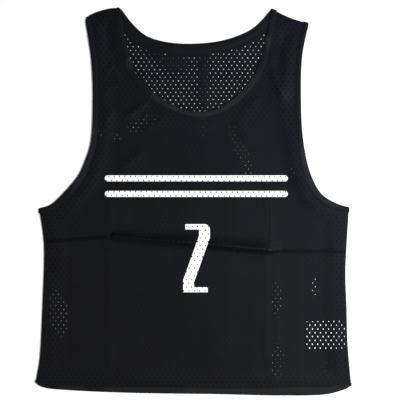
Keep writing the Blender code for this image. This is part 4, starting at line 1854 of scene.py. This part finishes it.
@dataclass
class Binding:
    """A folded tape round an opening of the tube: front, round a fold, back, round the other fold.

    Attributes:
        name: Of the piece.
        front, back: The edges that it binds.
        after, before: The folds at the front edge's end and at its start.
        front_level, back_level: Level of each edge's middle at its stations.
    """

    name: str
    front: Edge
    back: Edge
    after: Fold
    before: Fold
    front_level: np.ndarray
    back_level: np.ndarray

    turns: int = 11  # sections round a fold
    puff: float = 0.04  # how far the faces swell, and how much that varies
    puff_waves: Place = (0.83, 0.29)  # how fast it varies, by section
    puff_ends: float = 4.0  # sections over which it grows at the ends
    corner_more: float = 0.4  # what the middle of a rounded corner gives way more
    stitch_in: float = 1.75  # from the tape's inner edge
    stitch_sunk: float = 0.12  # into the tape
    stitches: StitchRow = StitchRow(pitch=3.0, length=2.3, thick=0.5)

    def stations(self) -> list[Station]:
        """Lays out the sections in order round the opening.

        Returns:
            The sections.
        """
        after, before, front = self.after, self.before, self.front
        over = self.around(after.start, after.axis, after.out, front.width[-1], after.cuts[0])
        under = self.around(before.end, -before.axis, before.out, front.width[0], before.cuts[1])
        there = self.along(front, self.front_level, Layer.FRONT)
        back = self.along(self.back, self.back_level, Layer.BACK)
        return [*there, *over, *reversed(back), *reversed(under)]

    def along(self, edge: Edge, level: np.ndarray, layer: Layer) -> list[Station]:
        """Lays out sections along an edge.

        Args:
            edge: The edge.
            level: Its middle's level at each station.
            layer: Front or back.

        Returns:
            The sections.
        """
        made = []
        fast, slow = self.puff_waves
        for i, (p, n, w, z) in enumerate(zip(edge.points, edge.inward, edge.width, level)):
            puff = self.puff * (1.0 + math.sin(i * fast) * math.sin(i * slow + 1.0))
            puff *= float(smooth(min(i, len(level) - 1 - i) / self.puff_ends))
            up = np.array([0.0, 0.0, layer.value])
            made.append(Station(np.array([*p, z]), np.array([*n, 0.0]), up, float(w), puff))
        return made

    def around(self, corner: Any, axis: Any, out: Any, width: float, cut: float) -> list[Station]:
        """Lays out sections round a fold, from the front to the back.

        Args:
            corner: End of the fold.
            axis: Way from there along the fold.
            out: Way out of the bib.
            width: Of the binding.
            cut: How much the corner is rounded off.

        Returns:
            The sections.
        """
        made = []
        for turn in np.linspace(0.0, math.pi, self.turns + 2)[1:-1]:
            way = np.array([out[0] * math.sin(turn), out[1] * math.sin(turn), math.cos(turn)])
            more = self.corner_more * cut * math.sin(turn)
            place = np.array([*(corner + axis * (cut + more)), FOLD_LEVEL]) + way * FOLD_RADIUS
            made.append(Station(place, np.array([*axis, 0.0]), way, float(width) - more))
        return made

    def build(self, tape: bpy.types.Material, thread: bpy.types.Material, node: str) -> None:
        """Makes the tape and its stitches.

        Args:
            tape: Finish of the tape.
            thread: Finish of the stitches.
            node: The solid that the tape replaces.
        """
        stations = self.stations()
        rings = [station.ring() for station in stations]
        size, count = len(rings[0]), len(rings)
        faces = []
        for i in range(count):
            here, there = i * size, (i + 1) % count * size
            for k in range(size):
                n = (k + 1) % size
                faces.append((here + k, here + n, there + n, there + k))
        mesh = new_mesh(self.name, [p for ring in rings for p in ring], faces=faces)
        # Share of painted shade at each point of the section, which the tape's colour reads
        sunk = mesh.attributes.new("painted_seam_shade", "FLOAT", "POINT")
        sunk.data.foreach_set("value", Station.GROOVE * count)
        new_piece(outward(mesh), tape, node, slot="tape")
        line = np.array([s.at(s.width - self.stitch_in, TAPE_HALF - self.stitch_sunk) for s in stations])
        tops = np.array([s.out for s in stations])
        aims = np.roll(line, -1, axis=0) - np.roll(line, 1, axis=0)
        self.stitches.sew(f"{self.name}_stitches", line, tops, aims, thread, closed=True)


@dataclass
class Seam:
    """The sewn join of front and back along a fold, seen as overlocked threads across it.

    Attributes:
        name: Of the piece.
        fold: The fold.
        first, last: Width of the binding at its start, and at its end.
    """

    name: str
    fold: Fold
    first: float
    last: float

    clear: float = 1.0  # from the bindings
    sunk: float = 0.05  # into the cloth
    slant: float = 0.35  # how much the threads lean along the fold
    stitches: StitchRow = StitchRow(pitch=2.6, length=2.8, thick=0.42)

    def build(self, thread: bpy.types.Material) -> None:
        """Makes the threads.

        Args:
            thread: Their finish.
        """
        line = self.fold.line(self.first, self.last)
        under = 1.0 - self.fold.tucked
        start = self.first * under + self.clear
        end = lengths_along(line)[-1] - self.last * under - self.clear
        line = points_at(line, np.linspace(start, end, len(line)))
        out = np.array([*self.fold.out, 0.0])
        line = np.column_stack([line, np.full(len(line), FOLD_LEVEL)])
        line = line + out * (FOLD_RADIUS + WALL / 2 - self.sunk)
        aim = np.array([*(self.slant * self.fold.axis), 1.0])
        tops, aims = np.tile(out, (len(line), 1)), np.tile(aim, (len(line), 1))
        self.stitches.sew(self.name, line, tops, aims, thread, closed=False)


@dataclass
class CareLabel:
    """A blank satin label in the side seam, under the front net."""

    plan: Plan
    wide: float = 66.0
    deep: float = 48.0
    middle_y: float = -224.5
    seam_x: float = 252.5  # where it is sewn in
    turn: float = math.radians(1.2)
    thick: float = 0.2
    under_net: float = 0.12  # gap to the net above it
    under_edge: float = 1.2  # below the front's edge, where the side folds
    columns: int = 33
    rows: int = 24

    def build(self, satin: bpy.types.Material) -> None:
        """Makes the label.

        Args:
            satin: Its finish.
        """
        u, v = np.meshgrid(np.linspace(0.0, 1.0, self.columns + 1), np.linspace(-0.5, 0.5, self.rows + 1))
        along, across = -self.wide * u.ravel(), self.deep * v.ravel()
        c, s = math.cos(self.turn), math.sin(self.turn)
        x, y = self.seam_x + along * c - across * s, self.middle_y + along * s + across * c
        flat = np.stack([x, y], axis=1)
        level = self.plan.level(Layer.FRONT, flat) - WALL / 2 - self.under_net - self.thick / 2
        level = np.minimum(level, FRONT_EDGE - self.under_edge)
        half = self.thick / 2
        points = np.concatenate([np.column_stack([flat, level + side]) for side in (half, -half)])
        grid = np.arange(len(flat)).reshape(self.rows + 1, self.columns + 1)
        quads = np.stack([grid[:-1, :-1], grid[:-1, 1:], grid[1:, 1:], grid[1:, :-1]], axis=2).reshape(-1, 4)
        loop = np.concatenate([grid[0], grid[1:, -1], grid[-1, -2::-1], grid[-2:0:-1, 0]])
        following = np.roll(loop, -1)
        rim = np.stack([following, loop, len(flat) + loop, len(flat) + following], axis=1)
        faces = np.concatenate([quads, len(flat) + quads[:, ::-1], rim])
        mesh = outward(new_mesh("care_label_satin", points, faces=faces.tolist()))
        new_piece(mesh, satin, "care_label", slot="label")


@dataclass
class Studio:
    """A white floor under the bib, soft light and a camera that looks straight down."""

    view_width: float = 668.8  # of the floor that the picture shows
    view_middle: Place = (10.1, 1.3)
    lens: float = 200.0
    sensor: float = 36.0
    floor_half: float = 4000.0
    floor_level: float = -0.15
    world_light: float = 0.15  # while the camera sees it at full white

    def build(self) -> None:
        """Makes the floor, the lights and the camera."""
        half, level = self.floor_half, self.floor_level
        corners = [(-half, -half, level), (half, -half, level), (half, half, level), (-half, half, level)]
        mesh = new_mesh("floor", corners, faces=[(0, 1, 2, 3)])
        mesh.materials.append(FloorFinish().material())
        floor = bpy.data.objects.new("floor", mesh)
        scene = bpy.context.scene
        scene.collection.objects.link(floor)
        self.lamp("key", place=(0.85, -0.1, 1.5), size=0.55, power=36.0)
        self.lamp("fill", place=(-0.9, -0.5, 1.5), size=1.2, power=6.0)
        world = bpy.data.worlds.new("studio")
        world.use_nodes = True
        seen = Varying(add_node(world.node_tree, "ShaderNodeLightPath").outputs["Is Camera Ray"])
        strength = seen * (1.0 - self.world_light) + self.world_light
        feed(world.node_tree.nodes["Background"], {"Color": (1.0, 1.0, 1.0, 1.0), "Strength": strength})
        scene.world = world
        scene.view_settings.view_transform = "Standard"
        lens = bpy.data.cameras.new("from above")
        lens.lens, lens.sensor_width = self.lens, self.sensor
        camera = bpy.data.objects.new("from above", lens)
        away = self.view_width * self.lens / self.sensor
        camera.location = Vector((*self.view_middle, away)) * MM
        scene.collection.objects.link(camera)
        scene.camera = camera

    def lamp(self, name: str, place: tuple[float, float, float], size: float, power: float) -> None:
        """Hangs a square soft box, turned to the bib.

        Args:
            name: Its name.
            place: Where it hangs, in metres.
            size: Its side in metres.
            power: In watts.
        """
        light = bpy.data.lights.new(name, "AREA")
        light.size, light.energy = size, power
        box = bpy.data.objects.new(name, light)
        turned = Vector(place).to_track_quat("Z", "Y").to_matrix().to_4x4()
        box.matrix_world = Matrix.Translation(place) @ turned
        bpy.context.scene.collection.objects.link(box)


def bindings(plan: Plan) -> dict[str, Binding]:
    """Lays out the four bindings.

    Args:
        plan: The bib's plan.

    Returns:
        Node of the solid that each replaces, to the binding.
    """
    necks = plan.neck_level(Layer.FRONT), plan.neck_level(Layer.BACK)
    made = {
        "neck_binding": Binding(
            "neck_tape", plan.neck_front, plan.neck_back, plan.shoulder_left, plan.shoulder_right, *necks
        )
    }
    for name, node, edge, after, before in (
        ("armhole_tape_left", "armhole_binding_left", plan.armhole_left, plan.side_left, plan.shoulder_left),
        (
            "armhole_tape_right",
            "armhole_binding_right",
            plan.armhole_right,
            plan.shoulder_right,
            plan.side_right,
        ),
        ("hem_tape", "hem_binding", plan.hem, plan.side_right, plan.side_left),
    ):
        levels = [np.full(len(edge.points), level) for level in (FRONT_EDGE, BACK_EDGE)]
        made[node] = Binding(name, edge, edge, after, before, *levels)
    return made


def seams(plan: Plan) -> list[Seam]:
    """Lays out the seams along the folds.

    Args:
        plan: The bib's plan.

    Returns:
        The seams.
    """
    crossing = (
        ("shoulder_seam_left", plan.shoulder_left, plan.neck_front, plan.armhole_left),
        ("side_seam_left", plan.side_left, plan.armhole_left, plan.hem),
        ("side_seam_right", plan.side_right, plan.hem, plan.armhole_right),
        ("shoulder_seam_right", plan.shoulder_right, plan.armhole_right, plan.neck_front),
    )
    return [Seam(name, fold, before.width[-1], after.width[0]) for name, fold, before, after in crossing]


def main() -> None:
    """Builds the bib and the studio."""
    logging.basicConfig(level=logging.INFO, format="%(message)s")
    plan = Plan()
    tape = TapeFinish(PAINTED_HIGHLIGHTS).material()
    thread = ThreadFinish().material()
    printed = NetFinish(
        "black warp-knit polyester net, printed", prints=NUMBER + CHEST_BARS, pressed=PRESSED
    )
    front = NetPanel(plan, Layer.FRONT, "front_net").build(printed.material(), "front_panel")
    plain = NetFinish("black warp-knit polyester net")
    back = NetPanel(plan, Layer.BACK, "back_net").build(plain.material(), "back_panel")
    sewn_on = ["care_label_satin"]
    for node, binding in bindings(plan).items():
        binding.build(tape, thread, node)
        sewn_on += [binding.name, f"{binding.name}_stitches"]
    for seam in seams(plan):
        seam.build(thread)
        sewn_on.append(seam.name)
    CareLabel(plan).build(SatinFinish().material())
    Studio().build()


if __name__ == "__main__":
    main()
